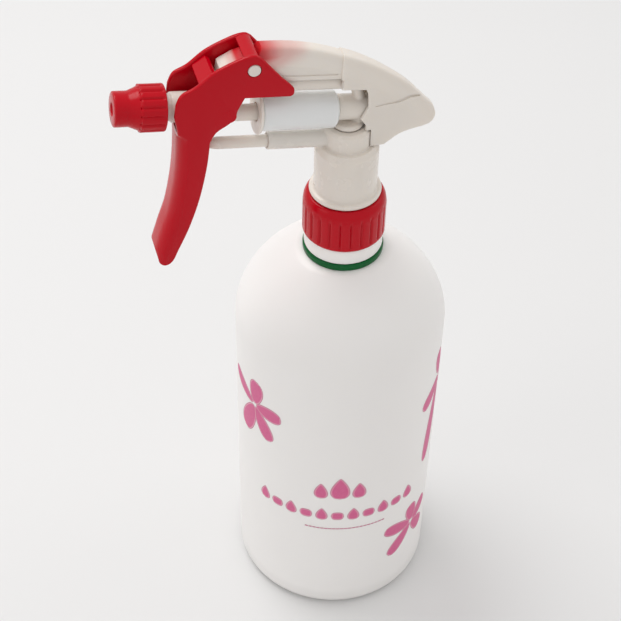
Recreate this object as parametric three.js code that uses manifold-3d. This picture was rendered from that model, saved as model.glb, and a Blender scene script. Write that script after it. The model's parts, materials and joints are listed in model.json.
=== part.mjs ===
// Trigger spray bottle: a round translucent bottle with a screw-on piston trigger head.
// Millimetres, +Z up. The origin is the centre of the bottle's base; the nozzle points along -X.
//
// The head's upper works lean back by TILT. They are drawn in the barrel frame, whose
// x runs along the nozzle axis towards the nozzle, y to the side and z up from that axis.
import * as THREE from "three";
import { mergeVertices } from "three/addons/utils/BufferGeometryUtils.js";
import Module from "manifold-3d";

const wasm = await Module();
wasm.setup();

// ---- driving dimensions ----
const GAP = 0.3; // between pieces that touch
const RUN = 0.4; // around pieces that slide or turn

const BOTTLE_RADIUS = 44;
const BOTTLE_WALL = 1.3;
const BASE_CORNER = 5;
const BODY_HEIGHT = 152.7;
const DOME_HEIGHT = 36;
const RING_HEIGHT = 3.1;
const RING_RADIUS = 16.3;
const RING_THICKNESS = 1.5;
const BEAD_RADIUS = 15.8;
const BEAD_HEIGHT = 6.7;
const FINISH_RADIUS = 12.6;
const FINISH_HEIGHT = 12.3;
const NECK_BORE = 10.9;

const COLLAR_RADIUS = 16.5;
const COLLAR_TOP_RADIUS = 14.6;
const COLLAR_BORE = 14.2;
const COLLAR_WEB = 3.2;
const COLLAR_FLUTES = 24;
const NECK_THREAD = { pitch: 4.23, turns: 1.2, depth: 1, foot: 1.7, crest: 0.9 };
const GASKET_THICKNESS = 0.9;
const FLANGE_THICKNESS = 1.6;

const NECK_TUBE_RADIUS = 12.2;
const SKIRT_BEAD_RADIUS = 14.2;
const SKIRT_BEAD_HEIGHT = 3.3;
const SKIRT_RADIUS = 12.4;
const SKIRT_HEIGHT = 18;
const SKIRT_CHAMFER = 2.1;
const SKIRT_WALL = 1.6;
const UPPER_NECK_RADIUS = 9.2;
const UPPER_NECK_HEIGHT = 8;

const TILT = THREE.MathUtils.degToRad(7.9);
const BARREL_RISE = 10.8; // nozzle axis above the neck body, on the bottle axis
const COLUMN_SETBACK = 4.3;
const COLUMN_RADIUS = 3.2;
const SPIGOT_RADIUS = 5.3;
const SPIGOT_LENGTH = 9;
const INLET_BORE = 1.9;
const BASE_DISC_RADIUS = 6;

const CYLINDER_DROP = 3.64; // pump axis below the nozzle axis
const CYLINDER_RADIUS = 7.13;
const CYLINDER_BORE = 6.1;
const CYLINDER_BACK = 5;
const CYLINDER_FRONT = 34.2;
const CAP_RADIUS = 8.2;
const CAP_THICKNESS = 1.2;
const REAR_TUBE_DROP = 3;
const REAR_TUBE_RADIUS = 4.9;
const REAR_TUBE_BACK = -8.6;
const REAR_TUBE_BORE = 3.4;
const PLUG_RADIUS = 4.6;

const PISTON_ROD_RADIUS = 3.1;
const PISTON_CUP_FRONT = 31;
const PISTON_CUP_LENGTH = 5;
const SPRING_WIRE = 0.9;
const SPRING_TURNS = 6;
const EYE_HALF_WIDTH = 3.5;

const OUTLET_RISE = 9.6; // outlet barrel above the nozzle axis
const OUTLET_RADIUS = 3.8;
const OUTLET_BORE = 1.5;
const OUTLET_FRONT = 49;
const RISER_FOOT_X = -5.2;
const RISER_TOP_X = -0.8;
const RISER_RADIUS = 2.3;
const STEM_RADIUS = 5.5;
const STEM_BACK = 51.5;
const STEM_FRONT = 67.6;
const STEM_BORE = 3.2;
const NOZZLE_SPIGOT_RADIUS = 4.9;
const NOZZLE_SPIGOT_FRONT = 79;
const OUTLET_SEAT_X = 57;
const OUTLET_BALL_RADIUS = 1.9;

const NOZZLE_BACK = 69.8;
const NOZZLE_GRIP_FRONT = 79;
const NOZZLE_CONE_FRONT = 82.5;
const NOZZLE_FRONT = 88.25;
const NOZZLE_GRIP_RADIUS = 8.64;
const NOZZLE_NOSE_RADIUS = 6.4;
const NOZZLE_BORE = 5.9;
const NOZZLE_WALL = 1.8;
const NOZZLE_FLUTES = 16;
const ORIFICE_RADIUS = 0.6;
const NOZZLE_THREAD = { pitch: 3.2, turns: 1, depth: 0.45, foot: 1.2, crest: 0.6 };
const SEAL_X = 77;
const SEAL_THICKNESS = 1.2;

const VENT_DROP = 16.8;
const VENT_SLEEVE_RADIUS = 3.4;
const VENT_BORE = 2.75;
const VENT_SLEEVE_FRONT = 29.5;
const VENT_ROD_RADIUS = 2.35;
const VENT_ROD_NOSE = 53;
const VENT_ROD_BACK = 24;

const PIVOT = { x: 40.7, z: 19.5 };
const PIN_HEAD_RADIUS = 2.3;
const PIN_RADIUS = 1.7;
const TRIGGER_INSIDE = 6.15; // half the gap between the side plates
const TRIGGER_PLATE = 2;
const TRIGGER_WALL = 2.2;
const CROSS_BAR = { x: 47.6, z: -0.6, radius: 1.5 };

const SHROUD_HALF_WIDTH = 5.6;
const SHROUD_WALL = 1.2;
const SHROUD_BEVEL = 2.2;
const SHROUD_REAR_HALF_WIDTH = 6.6;
const CREST_HALF_WIDTH = 3.4;
const TAIL_HALF_WIDTH = 2;
const FLARE_DEPTH = 9;
const GROOVE_DEPTH = 0.6;

const INTAKE_RADIUS = 5;
const INTAKE_CHAMBER = 3.6;
const INTAKE_TOP_DROP = 2; // below the pump body's spigot
const INTAKE_LENGTH = 31;
const INTAKE_SEAT_HEIGHT = 16; // above the housing's foot
const TUBE_RADIUS = 3;
const TUBE_BORE = 2.2;
const TUBE_FOOT = 12;
const INLET_BALL_RADIUS = 2.4;
const STRAINER_RADIUS = 5.2;
const STRAINER_FOOT = 4.2;
const STRAINER_HEIGHT = 15;

// ---- heights up the bottle axis ----
const ringFoot = BODY_HEIGHT + DOME_HEIGHT;
const ringTop = ringFoot + RING_HEIGHT;
const beadFoot = ringTop + GAP;
const beadTop = beadFoot + BEAD_HEIGHT;
const finishTop = beadTop + FINISH_HEIGHT;
const gasketFoot = finishTop + GAP;
const flangeFoot = gasketFoot + GASKET_THICKNESS + GAP;
const flangeTop = flangeFoot + FLANGE_THICKNESS;
const collarFoot = beadTop + GAP;
const webFoot = flangeTop + GAP;
const collarTop = webFoot + COLLAR_WEB;
const skirtFoot = collarTop + GAP;
const skirtTop = skirtFoot + SKIRT_BEAD_HEIGHT + SKIRT_HEIGHT;
const upperNeckFoot = skirtTop + SKIRT_CHAMFER;
const neckBodyTop = upperNeckFoot + UPPER_NECK_HEIGHT;
const barrelHeight = neckBodyTop + BARREL_RISE;
const shroudFoot = upperNeckFoot + 0.4;
const spigotFoot = neckBodyTop + GAP - SPIGOT_LENGTH;
const intakeTop = spigotFoot - INTAKE_TOP_DROP;
const intakeFoot = intakeTop - INTAKE_LENGTH;
const seatHeight = intakeFoot + INTAKE_SEAT_HEIGHT;

// ---- frames ----
const barrelFrame = new THREE.Matrix4().compose(
  new THREE.Vector3(0, 0, barrelHeight),
  new THREE.Quaternion().setFromEuler(new THREE.Euler(0, TILT, Math.PI)),
  new THREE.Vector3(1, 1, 1),
);
const bottleFrame = barrelFrame.clone().invert();

// A place given by its reach in front of the bottle axis and its height, in the barrel frame.
function inBarrel(reach, height) {
  const place = new THREE.Vector3(-reach, 0, height).applyMatrix4(bottleFrame);
  return [place.x, place.z];
}

// ---- shape helpers ----
// A closed geometry as a manifold-3d solid with its faces outwards.
function solid(geometry) {
  const bare = geometry.index ? geometry.toNonIndexed() : geometry.clone();
  bare.deleteAttribute("normal");
  bare.deleteAttribute("uv");
  const merged = mergeVertices(bare, 1e-4);
  const corners = [];
  for (let i = 0; i < merged.index.count; i += 3) {
    const [a, b, c] = [0, 1, 2].map((k) => merged.index.getX(i + k));
    if (a !== b && b !== c && c !== a) corners.push(a, b, c);
  }
  const build = (triVerts) =>
    new wasm.Manifold(
      new wasm.Mesh({
        numProp: 3,
        vertProperties: merged.attributes.position.array,
        triVerts: new Uint32Array(triVerts),
      }),
    );
  const made = build(corners);
  return made.volume() > 0 ? made : build(corners.reverse());
}

function join(first, ...others) {
  return others.reduce((sum, next) => sum.add(next), first);
}

function cut(first, ...others) {
  return others.reduce((rest, next) => rest.subtract(next), first);
}

// A turned solid about the vertical axis; each profile point is [radius, height].
function turned(profile, segments) {
  const points = [...profile, profile[0]].map(([r, z]) => new THREE.Vector2(r, z));
  return solid(new THREE.LatheGeometry(points, segments).rotateX(Math.PI / 2));
}

// A turned solid about a line along x at height z; each profile point is [x, radius].
function turnedAlong(profile, z, segments) {
  const points = [...profile, profile[0]].map(([x, r]) => new THREE.Vector2(r, x));
  return solid(new THREE.LatheGeometry(points, segments).rotateZ(-Math.PI / 2).translate(0, 0, z));
}

// A plain rod along x from one x to another at height z.
function rodAlong(radius, from, to, z, segments = 20) {
  const rod = new THREE.CylinderGeometry(radius, radius, to - from, segments);
  return solid(rod.rotateZ(-Math.PI / 2).translate((from + to) / 2, 0, z));
}

// A plain rod between two places [x, z] in the middle plane.
function rodBetween(radius, [x0, z0], [x1, z1], segments = 16) {
  const start = new THREE.Vector3(x0, 0, z0);
  const run = new THREE.Vector3(x1, 0, z1).sub(start);
  const turn = new THREE.Quaternion().setFromUnitVectors(
    new THREE.Vector3(0, 1, 0),
    run.clone().normalize(),
  );
  const middle = start.clone().addScaledVector(run, 0.5);
  const rod = new THREE.CylinderGeometry(radius, radius, run.length(), segments);
  return solid(rod.applyQuaternion(turn).translate(middle.x, middle.y, middle.z));
}

// A plain rod across the middle plane.
function rodAcross(radius, { x, z }, halfWidth, segments = 20) {
  const rod = new THREE.CylinderGeometry(radius, radius, 2 * halfWidth, segments);
  return solid(rod.translate(x, 0, 0).translate(0, 0, z));
}

// An outline in the middle plane, given as [x, z] points, made into a slab between two y values.
function slab(outline, from, to) {
  const shape = new THREE.Shape(outline.map(([x, z]) => new THREE.Vector2(x, z)));
  const raw = new THREE.ExtrudeGeometry(shape, { depth: to - from, bevelEnabled: false });
  return solid(raw.rotateX(Math.PI / 2).translate(0, to, 0));
}

function box(x0, x1, z0, z1, halfWidth) {
  const outline = [[x0, z0], [x1, z0], [x1, z1], [x0, z1]];
  return slab(outline, -halfWidth, halfWidth);
}

// A smooth open curve through [x, z] points, as points again.
function smooth(points, steps) {
  const curve = new THREE.SplineCurve(points.map(([x, z]) => new THREE.Vector2(x, z)));
  return curve.getPoints(steps).map((p) => [p.x, p.y]);
}

// Points on an arc about a centre, between two angles in degrees.
function arc({ x, z }, radius, from, to, steps) {
  return Array.from({ length: steps + 1 }, (_, i) => {
    const angle = THREE.MathUtils.degToRad(from + ((to - from) * i) / steps);
    return [x + radius * Math.cos(angle), z + radius * Math.sin(angle)];
  });
}

// A screw-thread ridge about the vertical axis. side is +1 outwards and -1 inwards.
function threadRidge({ pitch, turns, depth, foot, crest }, radius, from, side) {
  const stepsPerTurn = 20;
  const root = radius - side * 0.3;
  const tip = radius + side * depth;
  const section = new THREE.Shape([
    new THREE.Vector2(root, -foot / 2),
    new THREE.Vector2(tip, -crest / 2),
    new THREE.Vector2(tip, crest / 2),
    new THREE.Vector2(root, foot / 2),
  ]);
  const bar = new THREE.ExtrudeGeometry(section, {
    depth: 1,
    steps: Math.round(turns * stepsPerTurn),
    bevelEnabled: false,
  });
  const place = bar.getAttribute("position");
  for (let i = 0; i < place.count; i++) {
    const share = place.getZ(i) * turns;
    const angle = 2 * Math.PI * share;
    const r = place.getX(i);
    place.setXYZ(i, r * Math.cos(angle), r * Math.sin(angle), from + place.getY(i) + pitch * share);
  }
  return solid(bar);
}

// A coil spring along x at height z.
function coil(radius, wire, turns, from, to, z) {
  class Helix extends THREE.Curve {
    getPoint(t, target = new THREE.Vector3()) {
      const angle = 2 * Math.PI * turns * t;
      const x = from + wire / 2 + (to - from - wire) * t;
      return target.set(x, radius * Math.cos(angle), z + radius * Math.sin(angle));
    }
  }
  const section = new THREE.Shape();
  section.absarc(0, 0, wire / 2, 0, 2 * Math.PI);
  return solid(
    new THREE.ExtrudeGeometry(section, {
      steps: turns * 10,
      curveSegments: 3,
      extrudePath: new Helix(),
      bevelEnabled: false,
    }),
  );
}

const upright = (shape) => shape.transform(bottleFrame.elements);

// ---- colours ----
const FINISHES = {
  bottle: { color: 0xeeebe6, roughness: 0.45 },
  green: { color: 0x0c6a40, roughness: 0.4 },
  red: { color: 0xc4101e, roughness: 0.35 },
  white: { color: 0xefebe4, roughness: 0.4 },
  clear: { color: 0xe4e8e4, roughness: 0.3 },
  rubber: { color: 0x3a3c3e, roughness: 0.8 },
  steel: { color: 0xb8babc, roughness: 0.3, metalness: 1 },
};

function named(name, shape, finish) {
  const { vertProperties, triVerts, numProp } = shape.getMesh();
  const place = new Float32Array((vertProperties.length / numProp) * 3);
  for (let i = 0; i < place.length / 3; i++) {
    place.set(vertProperties.subarray(i * numProp, i * numProp + 3), i * 3);
  }
  const geometry = new THREE.BufferGeometry();
  geometry.setAttribute("position", new THREE.BufferAttribute(place, 3));
  geometry.setIndex(new THREE.BufferAttribute(new Uint32Array(triVerts), 1));
  geometry.computeVertexNormals();
  const mesh = new THREE.Mesh(geometry, new THREE.MeshStandardMaterial(FINISHES[finish]));
  mesh.name = name;
  return mesh;
}

// ---- bottle and neck ----
// The dome narrows from the body to the foot of the neck along a flattened ellipse.
function domeRadius(height, inset) {
  const neck = 12.2;
  const reach = DOME_HEIGHT + 3.3;
  const share = Math.min(1, Math.max(0, (height - BODY_HEIGHT) / reach));
  const flat = (1 - share ** 1.94) ** 0.833;
  return neck + (BOTTLE_RADIUS - neck) * flat - inset;
}

function bottle() {
  const foot = BOTTLE_RADIUS - BASE_CORNER;
  const domeSteps = 9;
  const cornerSteps = 3;
  const centre = { x: foot, z: BASE_CORNER };
  const outer = [
    [0, 0],
    ...arc(centre, BASE_CORNER, -90, 0, cornerSteps),
  ];
  const inner = [];
  for (let i = 0; i <= domeSteps; i++) {
    const height = BODY_HEIGHT + (DOME_HEIGHT * i) / domeSteps;
    outer.push([domeRadius(height, 0), height]);
    inner.push([Math.max(NECK_BORE, domeRadius(height - BOTTLE_WALL, BOTTLE_WALL)), height - BOTTLE_WALL]);
  }
  const throat = RING_RADIUS - RING_THICKNESS - GAP;
  outer.push(
    [throat, ringFoot],
    [throat, ringTop],
    [BEAD_RADIUS - 0.6, beadFoot],
    [BEAD_RADIUS, beadFoot + 0.6],
    [BEAD_RADIUS, beadTop - 0.6],
    [BEAD_RADIUS - 0.6, beadTop],
    [FINISH_RADIUS, beadTop],
    [FINISH_RADIUS, finishTop - 0.5],
    [FINISH_RADIUS - 0.4, finishTop],
    [NECK_BORE, finishTop],
  );
  inner.reverse();
  const shell = turned(
    [
      ...outer,
      [NECK_BORE, ringFoot - BOTTLE_WALL],
      ...inner,
      ...arc({ x: foot, z: BASE_CORNER + 1 }, BASE_CORNER - BOTTLE_WALL, 0, -90, cornerSteps),
      [0, BOTTLE_WALL + 1],
    ],
    40,
  );
  return shell.add(threadRidge(NECK_THREAD, FINISH_RADIUS, beadTop + 2, 1));
}

function colourRing() {
  const inside = RING_RADIUS - RING_THICKNESS;
  const profile = [
    [inside, ringFoot + GAP],
    [RING_RADIUS - 0.3, ringFoot + GAP],
    [RING_RADIUS, ringFoot + GAP + 0.4],
    [RING_RADIUS, ringTop - 0.4],
    [RING_RADIUS - 0.3, ringTop],
    [inside, ringTop],
  ];
  return turned(profile, 36);
}

function screwCollar() {
  const hole = NECK_TUBE_RADIUS + RUN;
  const crown = 4.6; // height over which the collar rounds in to its top edge
  const rounded = smooth(
    [
      [COLLAR_RADIUS, collarTop - crown],
      [COLLAR_RADIUS - 0.35, collarTop - crown / 2],
      [COLLAR_TOP_RADIUS, collarTop],
    ],
    4,
  );
  const shell = turned(
    [
      [COLLAR_BORE, collarFoot],
      [COLLAR_RADIUS - 0.4, collarFoot],
      [COLLAR_RADIUS, collarFoot + 0.5],
      ...rounded,
      [hole, collarTop],
      [hole, webFoot],
      [COLLAR_BORE, webFoot],
    ],
    36,
  );
  const grooveLength = collarTop - crown - collarFoot - 2;
  const grooves = Array.from({ length: COLLAR_FLUTES }, (_, i) => {
    const angle = (2 * Math.PI * (i + 0.5)) / COLLAR_FLUTES;
    const groove = new THREE.CylinderGeometry(0.7, 0.7, grooveLength, 5).rotateX(Math.PI / 2);
    const reach = COLLAR_RADIUS + 0.3;
    groove.translate(reach * Math.cos(angle), reach * Math.sin(angle), collarFoot + 1.6 + grooveLength / 2);
    return solid(groove);
  });
  const ridge = threadRidge(NECK_THREAD, COLLAR_BORE, beadTop + 2 + NECK_THREAD.pitch / 2, -1);
  return cut(shell, ...grooves).add(ridge);
}

function neckGasket() {
  const outside = FINISH_RADIUS - 0.2;
  const top = gasketFoot + GASKET_THICKNESS;
  return turned([[NECK_BORE, gasketFoot], [outside, gasketFoot], [outside, top], [NECK_BORE, top]], 32);
}

// ---- head, upright pieces ----
function neckBody() {
  const hollow = SKIRT_RADIUS - SKIRT_WALL;
  const upperHollow = UPPER_NECK_RADIUS - SKIRT_WALL;
  const roof = neckBodyTop - 3;
  const hole = SPIGOT_RADIUS + GAP;
  const flangeRadius = COLLAR_BORE - RUN - NECK_THREAD.depth + 0.5;
  const shell = turned(
    [
      [hollow, flangeFoot],
      [flangeRadius, flangeFoot],
      [flangeRadius, flangeTop],
      [NECK_TUBE_RADIUS, flangeTop],
      [NECK_TUBE_RADIUS, skirtFoot],
      [SKIRT_BEAD_RADIUS - 0.5, skirtFoot],
      [SKIRT_BEAD_RADIUS, skirtFoot + 0.6],
      [SKIRT_BEAD_RADIUS - 0.1, skirtFoot + 1.5],
      [SKIRT_BEAD_RADIUS - 0.8, skirtFoot + 2.4],
      [SKIRT_RADIUS + 0.2, skirtFoot + SKIRT_BEAD_HEIGHT - 0.3],
      [SKIRT_RADIUS, skirtFoot + SKIRT_BEAD_HEIGHT + 0.6],
      [SKIRT_RADIUS, skirtTop],
      [SKIRT_RADIUS - 1.5, upperNeckFoot],
      [UPPER_NECK_RADIUS, upperNeckFoot],
      [UPPER_NECK_RADIUS, neckBodyTop - 1.1],
      [UPPER_NECK_RADIUS - 1.3, neckBodyTop],
      [hole, neckBodyTop],
      [hole, roof],
      [upperHollow, roof],
      [upperHollow, upperNeckFoot],
      [hollow, skirtTop - 1.5],
    ],
    36,
  );
  const sleeve = rodAlong(VENT_SLEEVE_RADIUS, 2, VENT_SLEEVE_FRONT, -VENT_DROP);
  const ventBore = rodAlong(VENT_BORE, 2, VENT_SLEEVE_FRONT + 1, -VENT_DROP, 16);
  const core = [[0, skirtFoot], [upperHollow, skirtFoot], [upperHollow, neckBodyTop + 1], [0, neckBodyTop + 1]];
  const sleeveUpright = sleeve.transform(barrelFrame.elements).subtract(turned(core, 36));
  return shell.add(sleeveUpright).subtract(ventBore.transform(barrelFrame.elements));
}

function intakeHousing() {
  const bore = TUBE_RADIUS + GAP;
  const throat = 1.7;
  const collar = { foot: intakeTop - 9, thickness: 1.4, radius: SKIRT_RADIUS - SKIRT_WALL - RUN };
  return turned(
    [
      [bore, intakeFoot],
      [INTAKE_RADIUS, intakeFoot],
      [INTAKE_RADIUS, collar.foot],
      [collar.radius, collar.foot],
      [collar.radius, collar.foot + collar.thickness],
      [INTAKE_RADIUS, collar.foot + collar.thickness],
      [INTAKE_RADIUS, intakeTop],
      [INTAKE_CHAMBER, intakeTop],
      [INTAKE_CHAMBER, seatHeight + 2],
      [throat, seatHeight],
      [throat, seatHeight - 3],
      [bore, seatHeight - 3],
    ],
    24,
  );
}

function inletBall() {
  const ball = new THREE.SphereGeometry(INLET_BALL_RADIUS, 14, 10).rotateX(Math.PI / 2);
  return solid(ball.translate(0, 0, seatHeight + INLET_BALL_RADIUS + 0.35));
}

function ballRetainer() {
  const foot = seatHeight + 2 * INLET_BALL_RADIUS + 3;
  const outside = INTAKE_CHAMBER - GAP;
  const hole = 1.4;
  return turned([[hole, foot], [outside, foot], [outside, foot + 1.6], [hole, foot + 1.6]], 20);
}

function dipTube() {
  const top = seatHeight - 3 - GAP;
  const profile = [[TUBE_BORE, TUBE_FOOT], [TUBE_RADIUS, TUBE_FOOT], [TUBE_RADIUS, top], [TUBE_BORE, top]];
  return turned(profile, 20);
}

function tubeStrainer() {
  const socket = TUBE_RADIUS + GAP;
  const top = STRAINER_FOOT + STRAINER_HEIGHT;
  const step = TUBE_FOOT - GAP;
  const chamber = STRAINER_RADIUS - 1.2;
  const shell = turned(
    [
      [chamber, STRAINER_FOOT],
      [STRAINER_RADIUS, STRAINER_FOOT],
      [STRAINER_RADIUS, step],
      [socket + 1.1, step + 1.5],
      [socket + 1.1, top],
      [socket, top],
      [socket, step],
      [TUBE_BORE, step],
      [TUBE_BORE, step - 1.2],
      [chamber, step - 1.2],
    ],
    20,
  );
  const slots = [0, 1].map((turn) => {
    const slot = new THREE.BoxGeometry(2 * STRAINER_RADIUS + 2, 1.6, 3).rotateZ((turn * Math.PI) / 2);
    return solid(slot.translate(0, 0, STRAINER_FOOT + 1));
  });
  return cut(shell, ...slots);
}

// ---- head, pieces in the barrel frame ----
function pumpBody() {
  const disc = turned(
    [
      [0, spigotFoot],
      [SPIGOT_RADIUS, spigotFoot],
      [SPIGOT_RADIUS, neckBodyTop + GAP],
      [BASE_DISC_RADIUS, neckBodyTop + GAP],
      [BASE_DISC_RADIUS, neckBodyTop + GAP + 1],
      [BASE_DISC_RADIUS - 0.8, neckBodyTop + GAP + 1.7],
      [0, neckBodyTop + GAP + 1.7],
    ],
    24,
  );
  const columnTop = inBarrel(-COLUMN_SETBACK, barrelHeight - REAR_TUBE_DROP - 2);
  const columnFoot = inBarrel(-COLUMN_SETBACK, neckBodyTop + GAP + 1);
  const inletFoot = inBarrel(0, spigotFoot - 1);
  const riserFoot = [RISER_FOOT_X, -REAR_TUBE_DROP];
  const riserTop = [RISER_TOP_X, OUTLET_RISE];
  const dropTop = [OUTLET_FRONT - 1.5, OUTLET_RISE - 0.7];
  const dropFoot = [STEM_BACK + 3.5, 0];
  const outside = join(
    upright(disc),
    rodBetween(COLUMN_RADIUS, columnFoot, columnTop, 20),
    rodAlong(REAR_TUBE_RADIUS, REAR_TUBE_BACK, CYLINDER_BACK - GAP, -REAR_TUBE_DROP),
    rodBetween(RISER_RADIUS, riserFoot, riserTop),
    rodAlong(OUTLET_RADIUS, RISER_TOP_X - 2.2, OUTLET_FRONT, OUTLET_RISE),
    rodBetween(OUTLET_BORE + 1, dropTop, dropFoot),
    turnedAlong(
      [
        [STEM_BACK, 0],
        [STEM_BACK, STEM_RADIUS - 0.6],
        [STEM_BACK + 0.6, STEM_RADIUS],
        [STEM_FRONT, STEM_RADIUS],
        [STEM_FRONT, NOZZLE_SPIGOT_RADIUS],
        [NOZZLE_SPIGOT_FRONT, NOZZLE_SPIGOT_RADIUS],
        [NOZZLE_SPIGOT_FRONT, 0],
      ],
      0,
      24,
    ),
  );
  const channels = [
    rodBetween(INLET_BORE, inletFoot, columnTop, 12),
    rodAlong(REAR_TUBE_BORE, REAR_TUBE_BACK - 1, CYLINDER_BACK, -REAR_TUBE_DROP, 16),
    rodBetween(OUTLET_BORE - 0.3, riserFoot, riserTop, 12),
    rodAlong(OUTLET_BORE, RISER_TOP_X, dropTop[0], OUTLET_RISE, 12),
    rodBetween(OUTLET_BORE - 0.3, dropTop, dropFoot, 12),
    turnedAlong(
      [
        [dropFoot[0], 0],
        [dropFoot[0], 1.2],
        [OUTLET_SEAT_X, 1.2],
        [OUTLET_SEAT_X + 2, STEM_BORE],
        [NOZZLE_SPIGOT_FRONT + 1, STEM_BORE],
        [NOZZLE_SPIGOT_FRONT + 1, 0],
      ],
      0,
      20,
    ),
  ];
  const thread = threadRidge(NOZZLE_THREAD, NOZZLE_SPIGOT_RADIUS, 0, 1);
  return cut(outside, ...channels).add(alongBarrel(thread, STEM_FRONT + 3.4));
}

// Turns a solid made about the vertical axis to lie along x, its z = 0 at the given x.
function alongBarrel(shape, x) {
  return shape.rotate([0, 90, 0]).translate([x, 0, 0]);
}

function valvePlug() {
  const back = REAR_TUBE_BACK - GAP;
  const inner = REAR_TUBE_BORE - GAP;
  const profile = [
    [back - 1.8, 0],
    [back - 1.7, PLUG_RADIUS - 1.6],
    [back - 0.9, PLUG_RADIUS - 0.3],
    [back, PLUG_RADIUS],
    [back, inner],
    [REAR_TUBE_BACK + 0.9, inner],
    [REAR_TUBE_BACK + 0.9, 0],
  ];
  return turnedAlong(profile, -REAR_TUBE_DROP, 20);
}

function pumpCylinder() {
  const port = 1.6;
  const profile = [
    [CYLINDER_BACK, port],
    [CYLINDER_BACK, CYLINDER_RADIUS - 0.8],
    [CYLINDER_BACK + 0.8, CYLINDER_RADIUS],
    [CYLINDER_FRONT - GAP, CYLINDER_RADIUS],
    [CYLINDER_FRONT - GAP, CYLINDER_BORE],
    [CYLINDER_BACK + 1.2, CYLINDER_BORE],
    [CYLINDER_BACK + 1.2, port],
  ];
  return turnedAlong(profile, -CYLINDER_DROP, 28);
}

function cylinderCap() {
  const hole = PISTON_ROD_RADIUS + RUN;
  const spigot = CYLINDER_BORE - GAP;
  const front = CYLINDER_FRONT + CAP_THICKNESS;
  const profile = [
    [CYLINDER_FRONT, CAP_RADIUS],
    [front - 0.5, CAP_RADIUS],
    [front, CAP_RADIUS - 0.5],
    [front, hole],
    [CYLINDER_FRONT - 2, hole],
    [CYLINDER_FRONT - 2, spigot],
    [CYLINDER_FRONT, spigot],
  ];
  return turnedAlong(profile, -CYLINDER_DROP, 28);
}

// The trigger's cross bar moves on an arc, so the eye is longer than the bar behind and below.
function pistonRod() {
  const { x, z, radius } = CROSS_BAR;
  const slot = {
    back: x - radius - 0.6,
    front: x + radius + 0.35,
    foot: z - radius - 1.5,
    top: z + radius + 0.35,
  };
  const web = 1.4;
  const eye = slab(
    [
      [slot.back - web, slot.foot - web],
      [slot.front + web, slot.foot - web],
      [slot.front + web, z + 0.1],
      [slot.front - 0.4, slot.top + web],
      [slot.back - web, slot.top + web],
    ],
    -EYE_HALF_WIDTH,
    EYE_HALF_WIDTH,
  );
  const rod = rodAlong(PISTON_ROD_RADIUS, PISTON_CUP_FRONT + GAP, slot.back - web / 2, -CYLINDER_DROP, 16);
  const tang = rodAlong(1.5, PISTON_CUP_FRONT - PISTON_CUP_LENGTH, PISTON_CUP_FRONT + 1, -CYLINDER_DROP, 12);
  const opening = box(slot.back, slot.front, slot.foot, slot.top, EYE_HALF_WIDTH + 1);
  return join(rod, tang, eye).subtract(opening);
}

function pistonCup() {
  const back = PISTON_CUP_FRONT - PISTON_CUP_LENGTH;
  const hole = 1.5 + GAP;
  const outside = CYLINDER_BORE - 0.15;
  const profile = [
    [back, hole],
    [back, 2.6],
    [back + 1.6, 3.2],
    [back, outside - 0.8],
    [back, outside],
    [back + 1.4, outside - 0.3],
    [PISTON_CUP_FRONT - 1.4, outside - 0.3],
    [PISTON_CUP_FRONT, outside],
    [PISTON_CUP_FRONT, hole],
  ];
  return turnedAlong(profile, -CYLINDER_DROP, 24);
}

function returnSpring() {
  const back = CYLINDER_BACK + 1.2 + GAP;
  const front = PISTON_CUP_FRONT - PISTON_CUP_LENGTH - GAP;
  return coil(CYLINDER_BORE - 1.6, SPRING_WIRE, SPRING_TURNS, back, front, -CYLINDER_DROP);
}

function outletBall() {
  const ball = new THREE.SphereGeometry(OUTLET_BALL_RADIUS, 14, 10).rotateX(Math.PI / 2);
  return solid(ball.translate(OUTLET_SEAT_X + OUTLET_BALL_RADIUS + 0.7, 0, 0));
}

function outletSpring() {
  const back = OUTLET_SEAT_X + 2 * OUTLET_BALL_RADIUS + 0.7 + GAP;
  return coil(2.1, 0.5, 5, back, NOZZLE_SPIGOT_FRONT - 6, 0);
}

function swirlInsert() {
  const back = NOZZLE_SPIGOT_FRONT - 6 + GAP;
  const front = NOZZLE_FRONT - NOZZLE_WALL - GAP;
  const profile = [
    [back, 0.9],
    [back, STEM_BORE - GAP],
    [NOZZLE_SPIGOT_FRONT + 0.8, STEM_BORE - GAP],
    [NOZZLE_SPIGOT_FRONT + 0.8, 2.2],
    [front - 0.4, 2.2],
    [front, 1.8],
    [front, 0],
    [back + 3, 0],
    [back + 3, 0.9],
  ];
  return turnedAlong(profile, 0, 18);
}

function nozzleSeal() {
  const inside = NOZZLE_SPIGOT_RADIUS + 0.1;
  const outside = NOZZLE_BORE - 0.1;
  const front = SEAL_X + SEAL_THICKNESS;
  return turnedAlong([[SEAL_X, inside], [SEAL_X, outside], [front, outside], [front, inside]], 0, 24);
}

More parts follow.
